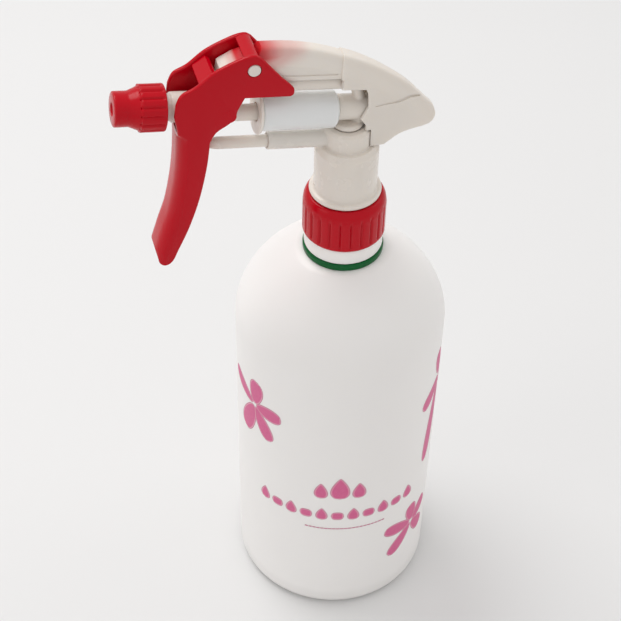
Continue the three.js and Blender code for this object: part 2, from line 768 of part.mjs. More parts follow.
function nozzleCap() {
  const chamber = 3.7;
  const chamberFoot = NOZZLE_SPIGOT_FRONT + 1.2;
  const shell = turnedAlong(
    [
      [NOZZLE_BACK, NOZZLE_BORE],
      [NOZZLE_BACK, NOZZLE_GRIP_RADIUS - 0.4],
      [NOZZLE_BACK + 0.4, NOZZLE_GRIP_RADIUS],
      [NOZZLE_GRIP_FRONT - 0.5, NOZZLE_GRIP_RADIUS],
      [NOZZLE_GRIP_FRONT, NOZZLE_GRIP_RADIUS - 0.5],
      [NOZZLE_CONE_FRONT, NOZZLE_NOSE_RADIUS + 0.1],
      [NOZZLE_FRONT - 0.8, NOZZLE_NOSE_RADIUS],
      [NOZZLE_FRONT, NOZZLE_NOSE_RADIUS - 0.8],
      [NOZZLE_FRONT, ORIFICE_RADIUS],
      [NOZZLE_FRONT - NOZZLE_WALL, ORIFICE_RADIUS],
      [NOZZLE_FRONT - NOZZLE_WALL, chamber],
      [chamberFoot, chamber],
      [chamberFoot, NOZZLE_BORE],
    ],
    0,
    32,
  );
  const flutes = Array.from({ length: NOZZLE_FLUTES }, (_, i) => {
    const angle = (2 * Math.PI * i) / NOZZLE_FLUTES;
    const reach = NOZZLE_GRIP_RADIUS + 0.25;
    const length = NOZZLE_GRIP_FRONT - NOZZLE_BACK;
    const flute = new THREE.CylinderGeometry(0.6, 0.6, length, 5).rotateZ(Math.PI / 2);
    flute.translate(NOZZLE_BACK + 0.9 + length / 2, reach * Math.cos(angle), reach * Math.sin(angle));
    return solid(flute);
  });
  const ridge = threadRidge(NOZZLE_THREAD, NOZZLE_BORE, 0, -1);
  return cut(shell, ...flutes).add(alongBarrel(ridge, STEM_FRONT + 3.4 + NOZZLE_THREAD.pitch / 2));
}

function ventPlunger() {
  const r = VENT_ROD_RADIUS;
  const nose = arc({ x: VENT_ROD_NOSE - r, z: 0 }, r, 90, 0, 4);
  const profile = [[VENT_ROD_BACK, 0], [VENT_ROD_BACK, r], ...nose];
  return turnedAlong(profile, -VENT_DROP, 18);
}

function ventSeal() {
  const front = VENT_ROD_BACK - GAP;
  const outside = VENT_BORE - 0.1;
  const profile = [[front - 3, 0.9], [front - 3, outside], [front, outside], [front, 0.9]];
  return turnedAlong(profile, -VENT_DROP, 16);
}

function pivotPin() {
  const shoulder = SHROUD_HALF_WIDTH + GAP;
  const outside = TRIGGER_INSIDE + TRIGGER_PLATE + 0.25;
  return join(
    rodAcross(PIN_RADIUS, PIVOT, shoulder + 0.2, 16),
    ...[-1, 1].map((side) => {
      const middle = (side * (shoulder + outside)) / 2;
      return rodAcross(PIN_HEAD_RADIUS, PIVOT, (outside - shoulder) / 2).translate([0, middle, 0]);
    }),
  );
}

// ---- trigger ----
const leverFront = [
  [67.5, 0.4],
  [65.3, -9],
  [64.2, -26],
  [65, -43],
  [67.2, -55],
  [68.6, -63],
];
const leverBack = [
  [60.6, -61.5],
  [57.2, -50],
  [54.6, -36.6],
  [53.3, -22],
  [53.3, -11],
];

function triggerOutline() {
  const hood = smooth([[38.6, 24.3], [41.3, 25.4], [46.1, 24], [54.8, 19], [61, 13], [65.8, 9.8], [67.4, 5.5]], 20);
  const tip = smooth([[68.6, -63], [67.6, -66.4], [64.6, -68.1], [62, -66], [60.6, -61.5]], 8);
  const belly = smooth([[53.3, -11], [51.4, -6.6], [47.3, -3.2], [45, -0.4], [44.6, 2.5], [42.6, 7.8]], 10);
  const heel = [[25.6, 7.9], [24.7, 9.6], [25, 11.6], [30, 15.9]];
  return [
    ...hood,
    ...smooth(leverFront, 14),
    ...tip.slice(1),
    ...smooth(leverBack, 10).slice(1),
    ...belly.slice(1),
    ...heel,
  ];
}

function trigger() {
  const inside = TRIGGER_INSIDE;
  const outside = inside + TRIGGER_PLATE;
  const outline = triggerOutline();
  const hole = rodAcross(PIN_HEAD_RADIUS + GAP, PIVOT, outside + 1);
  const plates = [slab(outline, -outside, -inside), slab(outline, inside, outside)];
  const span = inside + TRIGGER_PLATE / 2;
  const face = smooth(leverFront, 14).filter(([, z]) => z < -STEM_RADIUS - 0.5);
  const wall = slab(
    [...face, [66.4, -66.8], [64.4, -67.6], ...face.map(([x, z]) => [x - TRIGGER_WALL, z]).reverse()],
    -span,
    span,
  );
  const cap = [[38.8, 23.6], [39.6, 24.6], [41.3, 25.2], [47.6, 23.2], [47.2, 21.9], [41, 23.6]];
  const bridge = slab(cap, -span, span);
  const rib = [[53.4, 16.6], [55.2, 17.2], [59.4, 13.4], [59.2, 11.9], [57.6, 11.6], [53.6, 15]];
  const web = slab(rib, -span, span);
  const ventPad = box(53.6, 63.4, -VENT_DROP - 3.4, -VENT_DROP + 3.4, span);
  const ribs = [-32, -45, -57].map((z) => box(56 + (-z - 32) * 0.16, 63.4, z - 0.8, z + 0.8, span));
  const bar = rodAcross(CROSS_BAR.radius, CROSS_BAR, span, 16);
  return join(...plates, wall, bridge, web, ventPad, ...ribs, bar).subtract(hole);
}

// ---- shroud ----
const crest = [
  [-33.6, -2.6],
  [-28.9, 1.3],
  [-21.6, 7.6],
  [-12.5, 13.3],
  [-4, 17.6],
  [4.2, 20.7],
  [16, 24],
  [27, 25.5],
  [37.3, 25.6],
];

function shroudOutline() {
  const tailTip = smooth([[-29.9, -10.7], [-33.6, -9.6], [-35.2, -6.6], [-33.6, -2.6]], 6);
  const knuckle = arc(PIVOT, 3.2, 130, 50, 4);
  const nose = [[51.2, 16.2], [51.2, 11.5], [46, 11.5], [44, 12.9]];
  const throat = [[6, 12.9], [6, 8.6], [-3.4, 8.4], [-4.6, 6.3], [-5.7, 0.7], [-3.6, -4.8], [-6.2, -7.6]];
  const seat = [
    inBarrel(-4.8, neckBodyTop - 1),
    inBarrel(-4.8, shroudFoot),
    inBarrel(-SKIRT_RADIUS - 0.1, shroudFoot),
  ];
  const armpit = smooth([[-15.9, -15.6], [-19.6, -12.6], [-24, -11.3], [-29.9, -10.7]], 6);
  const back = [...tailTip, ...smooth(crest, 20).slice(1)];
  return [...back, ...knuckle, ...nose, ...throat, ...seat, ...armpit.slice(0, -1)];
}

// Half the width of the shroud at a distance along it and a depth below its crest.
function shroudHalfWidth(x, depth) {
  const { smoothstep, lerp } = THREE.MathUtils;
  const top = lerp(TAIL_HALF_WIDTH, CREST_HALF_WIDTH, smoothstep(x, -36, 8));
  const foot = lerp(TAIL_HALF_WIDTH + 0.9, SHROUD_REAR_HALF_WIDTH + 0.2, smoothstep(x, -38, -12));
  return lerp(top, foot, smoothstep(depth, 0, FLARE_DEPTH));
}

// The room the shroud may fill: narrow along its crest and tail, flaring out down its sides.
function flare(inset) {
  const ridge = [[-42, -10], ...smooth(crest, 16), [56, 25.6]];
  const side = [[0.6, -0.5], [0.9, 0.5], [1, 1.5], [1, 3.5], [1, 6], [1, FLARE_DEPTH], [1, 45]];
  const section = [...side, ...side.map(([share, depth]) => [-share, depth]).reverse()];
  const bar = new THREE.ExtrudeGeometry(
    new THREE.Shape(section.map(([share, depth]) => new THREE.Vector2(share, depth))),
    { depth: 1, steps: ridge.length - 1, bevelEnabled: false },
  );
  const place = bar.getAttribute("position");
  for (let i = 0; i < place.count; i++) {
    const [x, z] = ridge[Math.round(place.getZ(i) * (ridge.length - 1))];
    const depth = place.getY(i);
    place.setXYZ(i, x, place.getX(i) * (shroudHalfWidth(x, depth) - inset), z - depth - inset);
  }
  return solid(bar);
}

function shroud() {
  const outline = shroudOutline();
  const shape = new THREE.Shape(outline.map(([x, z]) => new THREE.Vector2(x, z)));
  const bevelled = (halfWidth, bevel) => {
    const raw = new THREE.ExtrudeGeometry(shape, {
      depth: 2 * (halfWidth - bevel),
      bevelThickness: bevel,
      bevelSize: bevel * 0.5,
      bevelOffset: -bevel * 0.5,
      bevelSegments: 2,
    });
    return solid(raw.rotateX(Math.PI / 2).translate(0, halfWidth - bevel, 0));
  };
  const rear = bevelled(SHROUD_REAR_HALF_WIDTH, SHROUD_BEVEL).intersect(box(-40, 6.4, -30, 30, 10));
  const whole = bevelled(SHROUD_HALF_WIDTH, SHROUD_BEVEL).add(rear).intersect(flare(0));
  const roof = smooth(crest.map(([x, z]) => [x, z - 2.6]), 16).filter(([x]) => x > -27 && x < 36);
  const hollow = (outline, halfWidth, from, to) =>
    slab(outline, -halfWidth, halfWidth).intersect(box(from, to, -40, 40, halfWidth + 1));
  const frontHollow = hollow(
    [...roof.filter(([x]) => x > 1), [36, 15.6], [50, 15], [50, 8], [1, 8]],
    SHROUD_HALF_WIDTH - SHROUD_WALL,
    4,
    50,
  );
  const rearHollow = hollow(
    [...roof, [36, 7], [-1, 7], [-1, -24], [-14.2, -24], [-13.6, -12.4], [-24, -8.8]],
    SHROUD_REAR_HALF_WIDTH - SHROUD_WALL - 0.1,
    -27,
    5,
  );
  const pinHole = rodAcross(PIN_RADIUS + GAP, PIVOT, 12, 16);
  const reach = UPPER_NECK_RADIUS + RUN;
  const roomTop = neckBodyTop + RUN;
  const neckRoom = turned([[0, shroudFoot - 1], [reach, shroudFoot - 1], [reach, roomTop], [0, roomTop]], 36);
  const tailGroove = box(-27, -8.5, 1.6, 2.4, 10).subtract(flare(GROOVE_DEPTH));
  const hollows = frontHollow.add(rearHollow).intersect(flare(SHROUD_WALL));
  return cut(whole, hollows, pinHole, upright(neckRoom), tailGroove);
}

// ---- assembly ----
const bottleGroup = new THREE.Group();
bottleGroup.add(
  named("bottle", bottle(), "bottle"),
  named("colour_ring", colourRing(), "green"),
  named("screw_collar", screwCollar(), "red"),
  named("neck_gasket", neckGasket(), "rubber"),
  named("neck_body", neckBody(), "white"),
  named("intake_housing", intakeHousing(), "white"),
  named("inlet_ball", inletBall(), "steel"),
  named("ball_retainer", ballRetainer(), "white"),
  named("dip_tube", dipTube(), "clear"),
  named("tube_strainer", tubeStrainer(), "white"),
);

const barrelGroup = new THREE.Group();
barrelGroup.position.set(0, 0, barrelHeight);
barrelGroup.rotation.set(0, TILT, Math.PI);
barrelGroup.add(
  named("pump_body", pumpBody(), "white"),
  named("valve_plug", valvePlug(), "white"),
  named("pump_cylinder", pumpCylinder(), "clear"),
  named("cylinder_cap", cylinderCap(), "white"),
  named("piston_rod", pistonRod(), "white"),
  named("piston_cup", pistonCup(), "rubber"),
  named("return_spring", returnSpring(), "steel"),
  named("outlet_ball", outletBall(), "steel"),
  named("outlet_spring", outletSpring(), "steel"),
  named("swirl_insert", swirlInsert(), "white"),
  named("nozzle_seal", nozzleSeal(), "rubber"),
  named("nozzle_cap", nozzleCap(), "red"),
  named("vent_plunger", ventPlunger(), "white"),
  named("vent_seal", ventSeal(), "rubber"),
  named("pivot_pin", pivotPin(), "white"),
  named("trigger", trigger(), "red"),
  named("shroud", shroud(), "white"),
);

const sprayBottle = new THREE.Group();
sprayBottle.add(bottleGroup, barrelGroup);

export default sprayBottle;
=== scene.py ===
"""A trigger spray bottle: the looks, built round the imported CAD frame."""

import json
import math

import bmesh
import bpy
from mathutils import Matrix, Vector


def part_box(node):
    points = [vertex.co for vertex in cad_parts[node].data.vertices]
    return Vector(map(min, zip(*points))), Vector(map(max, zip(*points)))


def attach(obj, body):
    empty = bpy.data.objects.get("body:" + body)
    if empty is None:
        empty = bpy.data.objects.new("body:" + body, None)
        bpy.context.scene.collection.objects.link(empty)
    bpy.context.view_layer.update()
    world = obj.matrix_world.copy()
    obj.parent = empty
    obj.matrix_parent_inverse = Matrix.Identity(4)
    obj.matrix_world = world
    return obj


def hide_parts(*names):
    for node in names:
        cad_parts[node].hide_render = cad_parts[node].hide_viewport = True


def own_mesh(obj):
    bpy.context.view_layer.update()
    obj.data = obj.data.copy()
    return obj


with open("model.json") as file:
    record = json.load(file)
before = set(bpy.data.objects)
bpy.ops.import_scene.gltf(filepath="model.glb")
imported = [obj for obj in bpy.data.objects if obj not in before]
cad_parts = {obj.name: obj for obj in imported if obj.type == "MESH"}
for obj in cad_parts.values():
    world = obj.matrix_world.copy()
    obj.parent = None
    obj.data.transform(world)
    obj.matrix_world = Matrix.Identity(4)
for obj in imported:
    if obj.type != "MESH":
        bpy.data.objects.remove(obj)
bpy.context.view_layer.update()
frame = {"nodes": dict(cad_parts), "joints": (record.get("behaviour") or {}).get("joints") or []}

MM = 0.001  # every size below is in millimetres
nodes = frame["nodes"]
joints = {joint["name"]: joint for joint in frame["joints"]}


# ---------------------------------------------------------------- places
def span(node, axis):
    """Lowest and highest reach of a CAD node along an axis, in mm."""
    low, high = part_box(node)
    return low[axis] / MM, high[axis] / MM


aim = Vector(joints["nozzle_turn"]["axis"]).normalized()
on_axis = Vector(joints["nozzle_turn"]["pos_m"]) / MM
BARREL_HEIGHT = (on_axis - aim * (on_axis.x / aim.x)).z
# the barrel frame: x forwards to the nozzle, y to the head's left side, z up from the nozzle's axis
across = Vector((0, -1, 0))
lift = aim.cross(across)
BARREL = Matrix.Translation((0, 0, BARREL_HEIGHT)) @ Matrix((aim, across, lift)).transposed().to_4x4()
UPRIGHT = Matrix.Identity(4)

RING_FOOT, RING_TOP = span("colour_ring", 2)
RING_RADIUS = span("colour_ring", 0)[1]
COLLAR_FOOT, COLLAR_TOP = span("screw_collar", 2)
COLLAR_RADIUS = span("screw_collar", 0)[1]
BOTTLE_RADIUS = span("bottle", 1)[1]
BOTTLE_TOP = span("bottle", 2)[1]
NECK_FOOT = span("neck_body", 2)[0]
GAP = 0.3

BODY_HEIGHT = 152.7
DOME_HEIGHT = RING_FOOT - GAP - BODY_HEIGHT
BASE_CORNER = 5
WALL = 1.3
SKIRT_FOOT = COLLAR_TOP + GAP
SKIRT_TOP = SKIRT_FOOT + 21.3
UPPER_NECK_FOOT = SKIRT_TOP + 2.1
UPPER_NECK_TOP = UPPER_NECK_FOOT + 8
BEAD_RADIUS = 15.8
BEAD_FOOT = RING_TOP + GAP
BEAD_TOP = COLLAR_FOOT - GAP

CYLINDER_AXIS = -3.64
REAR_TUBE_AXIS = -3.0
VENT_AXIS = -16.8
OUTLET_AXIS = 9.6
PIVOT = (40.7, 19.5)


def in_barrel(reach, height):
    """(x, z) in the barrel frame of a place in front of the bottle's axis, at a height."""
    place = BARREL.inverted() @ Vector((-reach, 0, height))
    return place.x, place.z


# ---------------------------------------------------------------- outlines
def curve(points, steps=6):
    """A smooth open curve through the points."""
    ends = [points[0], *points, points[-1]]
    made = []
    for a, b, c, d in zip(ends, ends[1:], ends[2:], ends[3:]):
        for k in range(steps):
            t = k / steps
            made.append(
                tuple(
                    0.5
                    * (
                        2 * q
                        + (r - p) * t
                        + (2 * p - 5 * q + 4 * r - s) * t * t
                        + (3 * q - p - 3 * r + s) * t**3
                    )
                    for p, q, r, s in zip(a, b, c, d)
                )
            )
    return made + [tuple(points[-1])]


def arc(centre, radius, start, end, steps):
    """Points on an arc, between two angles in degrees."""
    angles = [math.radians(start + (end - start) * i / steps) for i in range(steps + 1)]
    return [(centre[0] + radius * math.cos(a), centre[1] + radius * math.sin(a)) for a in angles]


def softened(points, radius=0.3, steps=4, closed=True):
    """The outline with its corners rounded, each by the radius or as much as its edges allow."""
    made = []
    count = len(points)
    for i, here in enumerate(points):
        before, after = Vector(points[i - 1]), Vector(points[(i + 1) % count])
        corner = Vector(here)
        back, on = before - corner, after - corner
        on_pole = abs(corner.x) < 1e-6 or (not closed and i in (0, count - 1))
        if on_pole or back.length < 1e-6 or on.length < 1e-6:
            made.append(tuple(corner))
            continue
        turn = back.angle(on)
        if turn > math.radians(165):
            made.append(tuple(corner))
            continue
        reach = min(radius / math.tan(turn / 2), 0.45 * back.length, 0.45 * on.length)
        first, last = corner + back.normalized() * reach, corner + on.normalized() * reach
        for k in range(steps + 1):
            t = k / steps
            made.append(tuple(first * (1 - t) ** 2 + corner * 2 * t * (1 - t) + last * t * t))
    return made


# ---------------------------------------------------------------- solids
def lathe(profile, segments=96, wobble=None):
    """A turned solid about the upright axis from a closed profile of (radius, height)."""
    made = bmesh.new()
    rings = []
    for r, z in profile:
        if r < 1e-6:
            rings.append([made.verts.new((0, 0, z))])
            continue
        ring = []
        for k in range(segments):
            angle = 2 * math.pi * k / segments
            reach = r + (wobble(r, z, angle) if wobble else 0)
            ring.append(made.verts.new((reach * math.cos(angle), reach * math.sin(angle), z)))
        rings.append(ring)
    for low, high in zip(rings, rings[1:] + rings[:1]):
        if len(low) == 1 and len(high) == 1:
            continue
        for k in range(segments):
            following = (k + 1) % segments
            corners = [low[k % len(low)], low[following % len(low)]]
            corners += [high[following % len(high)], high[k % len(high)]]
            made.faces.new(list(dict.fromkeys(corners)))
    bmesh.ops.recalc_face_normals(made, faces=made.faces)
    return made


def lathe_along(profile, height, segments=64, wobble=None):
    """A turned solid along x from a closed profile of (x, radius), its axis at that height."""
    made = lathe([(r, x) for x, r in profile], segments, wobble)
    made.transform(Matrix.Translation((0, 0, height)) @ Matrix.Rotation(math.pi / 2, 4, "Y"))
    return made


def rod(start, end, radius, soft=0.4, segments=40):
    """A round rod with softened ends between two places."""
    start, end = Vector(start), Vector(end)
    length = (end - start).length
    made = lathe(softened([(0, 0), (radius, 0), (radius, length), (0, length)], soft), segments)
    turn = Vector((0, 0, 1)).rotation_difference(end - start).to_matrix().to_4x4()
    made.transform(Matrix.Translation(start) @ turn)
    return made


def rod_across(radius, place, half_width, soft=0.3, segments=40):
    x, z = place
    return rod((x, -half_width, z), (x, half_width, z), radius, soft, segments)


def prism(outline, low, high, soft=0.0, segments=3):
    """The outline, of (x, z), as a slab between two y values with rounded edges."""
    made = bmesh.new()
    near = [made.verts.new((x, low, z)) for x, z in outline]
    far = [made.verts.new((x, high, z)) for x, z in outline]
    count = len(outline)
    caps = [made.faces.new(near), made.faces.new(list(reversed(far)))]
    for k in range(count):
        made.faces.new([near[k], far[k], far[(k + 1) % count], near[(k + 1) % count]][::-1])
    bmesh.ops.recalc_face_normals(made, faces=made.faces)
    if soft:
        rims = [edge for edge in made.edges if any(face in caps for face in edge.link_faces)]
        bmesh.ops.bevel(
            made, geom=rims, offset=soft, segments=segments, profile=0.5, affect="EDGES", clamp_overlap=True
        )
    return made


def block(x0, x1, z0, z1, half_width, soft=0.0):
    return prism([(x0, z0), (x1, z0), (x1, z1), (x0, z1)], -half_width, half_width, soft)


def placed(made, matrix):
    made.transform(Matrix.Scale(MM, 4) @ matrix)
    return made


def as_object(name, made):
    mesh = bpy.data.meshes.new(name)
    made.to_mesh(mesh)
    made.free()
    piece = bpy.data.objects.new(name, mesh)
    bpy.context.scene.collection.objects.link(piece)
    return piece


def with_modifiers_applied(piece):
    graph = bpy.context.evaluated_depsgraph_get()
    mesh = bpy.data.meshes.new_from_object(piece.evaluated_get(graph))
    piece.modifiers.clear()
    old = piece.data
    piece.data = mesh
    bpy.data.meshes.remove(old)
    return piece


def combined(name, first, added=(), removed=(), within=()):
    """One solid from several, in the units they were made in."""
    piece = as_object(name, first)
    steps = [(made, "UNION") for made in added]
    steps += [(made, "INTERSECT") for made in within]
    steps += [(made, "DIFFERENCE") for made in removed]
    for made, operation in steps:
        tool = as_object(name + "_tool", made)
        modifier = piece.modifiers.new("join", "BOOLEAN")
        modifier.operation = operation
        modifier.solver = "MANIFOLD"
        modifier.object = tool
        with_modifiers_applied(piece)
        bpy.data.objects.remove(tool)
    return piece


def solid_of(piece):
    """Takes the object apart again, to its solid."""
    made = bmesh.new()
    made.from_mesh(piece.data)
    bpy.data.objects.remove(piece)
    return made


def loft(rings):
    """A solid through rings of places, each ring with the same number."""
    made = bmesh.new()
    loops = [[made.verts.new(place) for place in ring] for ring in rings]
    count = len(loops[0])
    for low, high in zip(loops, loops[1:]):
        for k in range(count):
            following = (k + 1) % count
            made.faces.new((low[k], low[following], high[following], high[k]))
    made.faces.new(loops[0])
    made.faces.new(list(reversed(loops[-1])))
    bmesh.ops.recalc_face_normals(made, faces=made.faces)
    return made


def melted(piece, grain, passes, ease=0.5):
    """Runs a union of solids together with small fillets, as in one moulding. grain is in mm."""
    remesh = piece.modifiers.new("grain", "REMESH")
    remesh.mode = "VOXEL"
    remesh.voxel_size = grain
    ease_out = piece.modifiers.new("ease", "SMOOTH")
    ease_out.factor = ease
    ease_out.iterations = passes
    return with_modifiers_applied(piece)


def settle(piece, matrix):
    """Puts a piece built in mm into the row frame, in metres."""
    piece.data.transform(Matrix.Scale(MM, 4) @ matrix)
    return piece


def smooth_shaded(piece, crease=32):
    mesh = piece.data
    made = bmesh.new()
    made.from_mesh(mesh)
    limit = math.radians(crease)
    for edge in made.edges:
        edge.smooth = len(edge.link_faces) == 2 and edge.calc_face_angle(0) < limit
    for face in made.faces:
        face.smooth = True
    made.to_mesh(mesh)
    made.free()
    return piece


def finished(piece, material, body, stands_for=(), crease=32):
    smooth_shaded(piece, crease)
    piece.data.materials.clear()
    piece.data.materials.append(material)
    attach(piece, body)
    if stands_for:
        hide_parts(*stands_for)
    return piece


# ---------------------------------------------------------------- materials
class Nodes:
    """A short way to write a material's nodes."""

    def __init__(self, name):
        self.material = bpy.data.materials.new(name)
        self.material.use_nodes = True
        self.tree = self.material.node_tree
        self.shader = self.tree.nodes["Principled BSDF"]
        self.place = self.tree.nodes.new("ShaderNodeTexCoord").outputs["Object"]

    def link(self, a, b):
        self.tree.links.new(a, b)

    def noise(self, scale, detail=2.0, roughness=0.5):
        made = self.tree.nodes.new("ShaderNodeTexNoise")
        made.inputs["Scale"].default_value = scale
        made.inputs["Detail"].default_value = detail
        made.inputs["Roughness"].default_value = roughness
        self.link(self.place, made.inputs["Vector"])
        return made.outputs["Fac"]

    def ramp(self, value, stops, spline="LINEAR"):
        made = self.tree.nodes.new("ShaderNodeValToRGB")
        made.color_ramp.interpolation = spline
        held = made.color_ramp.elements
        while len(held) < len(stops):
            held.new(0.5)
        for element, (at, colour) in zip(held, stops):
            element.position = at
            element.color = (*colour, 1) if isinstance(colour, tuple) else (colour, colour, colour, 1)
        self.link(value, made.inputs["Fac"])
        return made.outputs["Color"]

    def spread(self, value, low, high, to_low=0.0, to_high=1.0):
        made = self.tree.nodes.new("ShaderNodeMapRange")
        made.inputs["From Min"].default_value = low
        made.inputs["From Max"].default_value = high
        made.inputs["To Min"].default_value = to_low
        made.inputs["To Max"].default_value = to_high
        self.link(value, made.inputs["Value"])
        return made.outputs["Result"]

    def mix(self, factor, a, b):
        made = self.tree.nodes.new("ShaderNodeMix")
        made.data_type = "RGBA"
        self.link(factor, made.inputs["Factor"])
        for socket, value in ((made.inputs[6], a), (made.inputs[7], b)):
            if isinstance(value, tuple):
                socket.default_value = (*value, 1)
            else:
                self.link(value, socket)
        return made.outputs[2]

    def math(self, operation, a, b):
        made = self.tree.nodes.new("ShaderNodeMath")
        made.operation = operation
        for socket, value in zip(made.inputs, (a, b)):
            if isinstance(value, (int, float)):
                socket.default_value = value
            else:
                self.link(value, socket)
        return made.outputs[0]

    def bump(self, height, strength, distance):
        made = self.tree.nodes.new("ShaderNodeBump")
        made.inputs["Strength"].default_value = strength
        made.inputs["Distance"].default_value = distance
        self.link(height, made.inputs["Height"])
        self.link(made.outputs["Normal"], self.shader.inputs["Normal"])


def plastic(
    name, dark, light, roughness, glow=0.0, glow_reach=0.002, glow_colour=(1, 1, 1), grain=0.05, gloss=0.5
):
    """Moulded plastic: slow colour drift, a fine orange-peel skin and uneven gloss."""
    made = Nodes(name)
    drift = made.noise(28, 3)
    made.link(made.mix(drift, dark, light), made.shader.inputs["Base Color"])
    cloud = made.noise(160, 4)
    uneven = made.spread(cloud, 0.3, 0.7, roughness - 0.03, roughness + 0.05)
    made.link(uneven, made.shader.inputs["Roughness"])
    made.bump(made.noise(1400, 2), grain, 0.0002)
    made.shader.inputs["Subsurface Weight"].default_value = glow
    made.shader.inputs["Subsurface Radius"].default_value = glow_colour
    made.shader.inputs["Subsurface Scale"].default_value = glow_reach
    made.shader.inputs["Specular IOR Level"].default_value = gloss
    return made


WHITE_DARK, WHITE_LIGHT = (0.76, 0.695, 0.625), (0.82, 0.76, 0.695)
RED_DARK, RED_LIGHT = (0.46, 0.0, 0.007), (0.54, 0.0, 0.010)

white = plastic("white_moulded", WHITE_DARK, WHITE_LIGHT, 0.24, 0.25, 0.003, (1, 0.9, 0.75)).material
red = plastic("red_moulded", RED_DARK, RED_LIGHT, 0.2, grain=0.008, gloss=0.2).material
GREEN_DARK, GREEN_LIGHT = (0.0, 0.085, 0.018), (0.001, 0.125, 0.028)
green = plastic("green_moulded", GREEN_DARK, GREEN_LIGHT, 0.24, grain=0.01, gloss=0.2).material
MILKY_DARK, MILKY_LIGHT = (0.82, 0.84, 0.83), (0.88, 0.90, 0.89)
milky = plastic("milky_tube", MILKY_DARK, MILKY_LIGHT, 0.20, 0.35, 0.004, (0.9, 1, 0.95), 0.02).material
rubber = plastic("dark_rubber", (0.020, 0.020, 0.021), (0.045, 0.045, 0.046), 0.62, grain=0.2).material


def steel_material():
    made = Nodes("spring_steel")
    made.link(made.ramp(made.noise(300, 2), [(0.3, 0.45), (0.7, 0.62)]), made.shader.inputs["Base Color"])
    made.link(made.spread(made.noise(900, 3), 0.3, 0.7, 0.22, 0.38), made.shader.inputs["Roughness"])
    made.shader.inputs["Metallic"].default_value = 1.0
    return made.material


def bottle_material():
    """Milky blow-moulded wall: slow uneven thickness, a satin skin and painted shade that darkens and greys
    the foot.
    """
    made = Nodes("milky_bottle")
    thick = made.noise(9, 3, 0.55)
    wall = made.mix(thick, (0.925, 0.890, 0.865), (0.955, 0.925, 0.900))
    # painted shade: the lowest 12 mm of the wall darken and grey towards the floor
    height = made.tree.nodes.new("ShaderNodeSeparateXYZ")
    made.link(made.place, height.inputs[0])
    foot = made.ramp(
        made.spread(height.outputs["Z"], 0.0, 0.012),
        [(0.0, 0.0), (0.22, 0.55), (0.5, 0.85), (1.0, 1.0)],
        "EASE",
    )
    made.link(made.mix(foot, (0.56, 0.55, 0.535), wall), made.shader.inputs["Base Color"])
    made.link(made.spread(made.noise(55, 4), 0.3, 0.7, 0.34, 0.46), made.shader.inputs["Roughness"])
    fine = made.math("MULTIPLY", made.noise(900, 2), 0.15)
    made.bump(made.math("ADD", made.noise(70, 2), fine), 0.05, 0.001)
    made.shader.inputs["Subsurface Weight"].default_value = 0.3
    made.shader.inputs["Subsurface Radius"].default_value = (1, 0.96, 0.92)
    made.shader.inputs["Subsurface Scale"].default_value = 0.003
    return made.material


def shroud_material():
    """White, with the red of the trigger bleeding back along the top at the pivot."""
    made = Nodes("white_to_red")
    place = made.tree.nodes.new("ShaderNodeSeparateXYZ")
    made.link(made.place, place.inputs[0])
    x = place.outputs["X"]
    cloud = made.noise(120, 3)
    base = made.mix(made.noise(28, 3), WHITE_DARK, WHITE_LIGHT)
    front = made.math("ADD", x, made.math("MULTIPLY", cloud, 0.004))
    tint = made.spread(front, -0.012, -0.033)
    high = made.spread(place.outputs["Z"], 0.2815, 0.2865)
    nose = made.spread(x, -0.047, -0.042)
    bleed = made.math("MULTIPLY", made.math("MULTIPLY", tint, high), nose)
    reddened = made.ramp(bleed, [(0.0, 0.0), (0.45, 0.35), (1.0, 1.0)], "EASE")
    made.link(made.mix(reddened, base, (0.60, 0.006, 0.014)), made.shader.inputs["Base Color"])
    made.link(made.spread(made.noise(160, 4), 0.3, 0.7, 0.30, 0.42), made.shader.inputs["Roughness"])
    made.bump(made.noise(1400, 2), 0.05, 0.0002)
    made.shader.inputs["Subsurface Weight"].default_value = 0.25
    made.shader.inputs["Subsurface Radius"].default_value = (1, 0.9, 0.75)
    made.shader.inputs["Subsurface Scale"].default_value = 0.003
    return made.material


def ink_material():
    """Screen-print ink: a thin dark edge, a pale line inside it, and a slightly mottled fill."""
    made = Nodes("pink_ink")
    edge = made.tree.nodes.new("ShaderNodeAttribute")
    edge.attribute_name = "inset"
    fill = made.mix(made.noise(700, 4), (0.62, 0.085, 0.24), (0.72, 0.14, 0.31))
    pale = (0.78, 0.40, 0.50)
    rim = (0.47, 0.055, 0.17)
    inner = made.ramp(made.spread(edge.outputs["Fac"], 0.00055, 0.00085), [(0.0, 0.0), (1.0, 1.0)])
    outer = made.ramp(made.spread(edge.outputs["Fac"], 0.00020, 0.00034), [(0.0, 0.0), (1.0, 1.0)])
    made.link(made.mix(outer, rim, made.mix(inner, pale, fill)), made.shader.inputs["Base Color"])
    made.shader.inputs["Roughness"].default_value = 0.5
    made.bump(made.noise(2200, 2), 0.08, 0.0001)
    return made.material


steel = steel_material()
bottle_wall = bottle_material()
shroud_white = shroud_material()
ink = ink_material()


# ---------------------------------------------------------------- bottle
def dome_radius(height, inset):
    neck = 12.2 - inset
    share = min(1.0, max(0.0, (height - BODY_HEIGHT) / (DOME_HEIGHT + 3.3)))
    return neck + (BOTTLE_RADIUS - neck) * (1 - share**1.94) ** 0.833 - inset


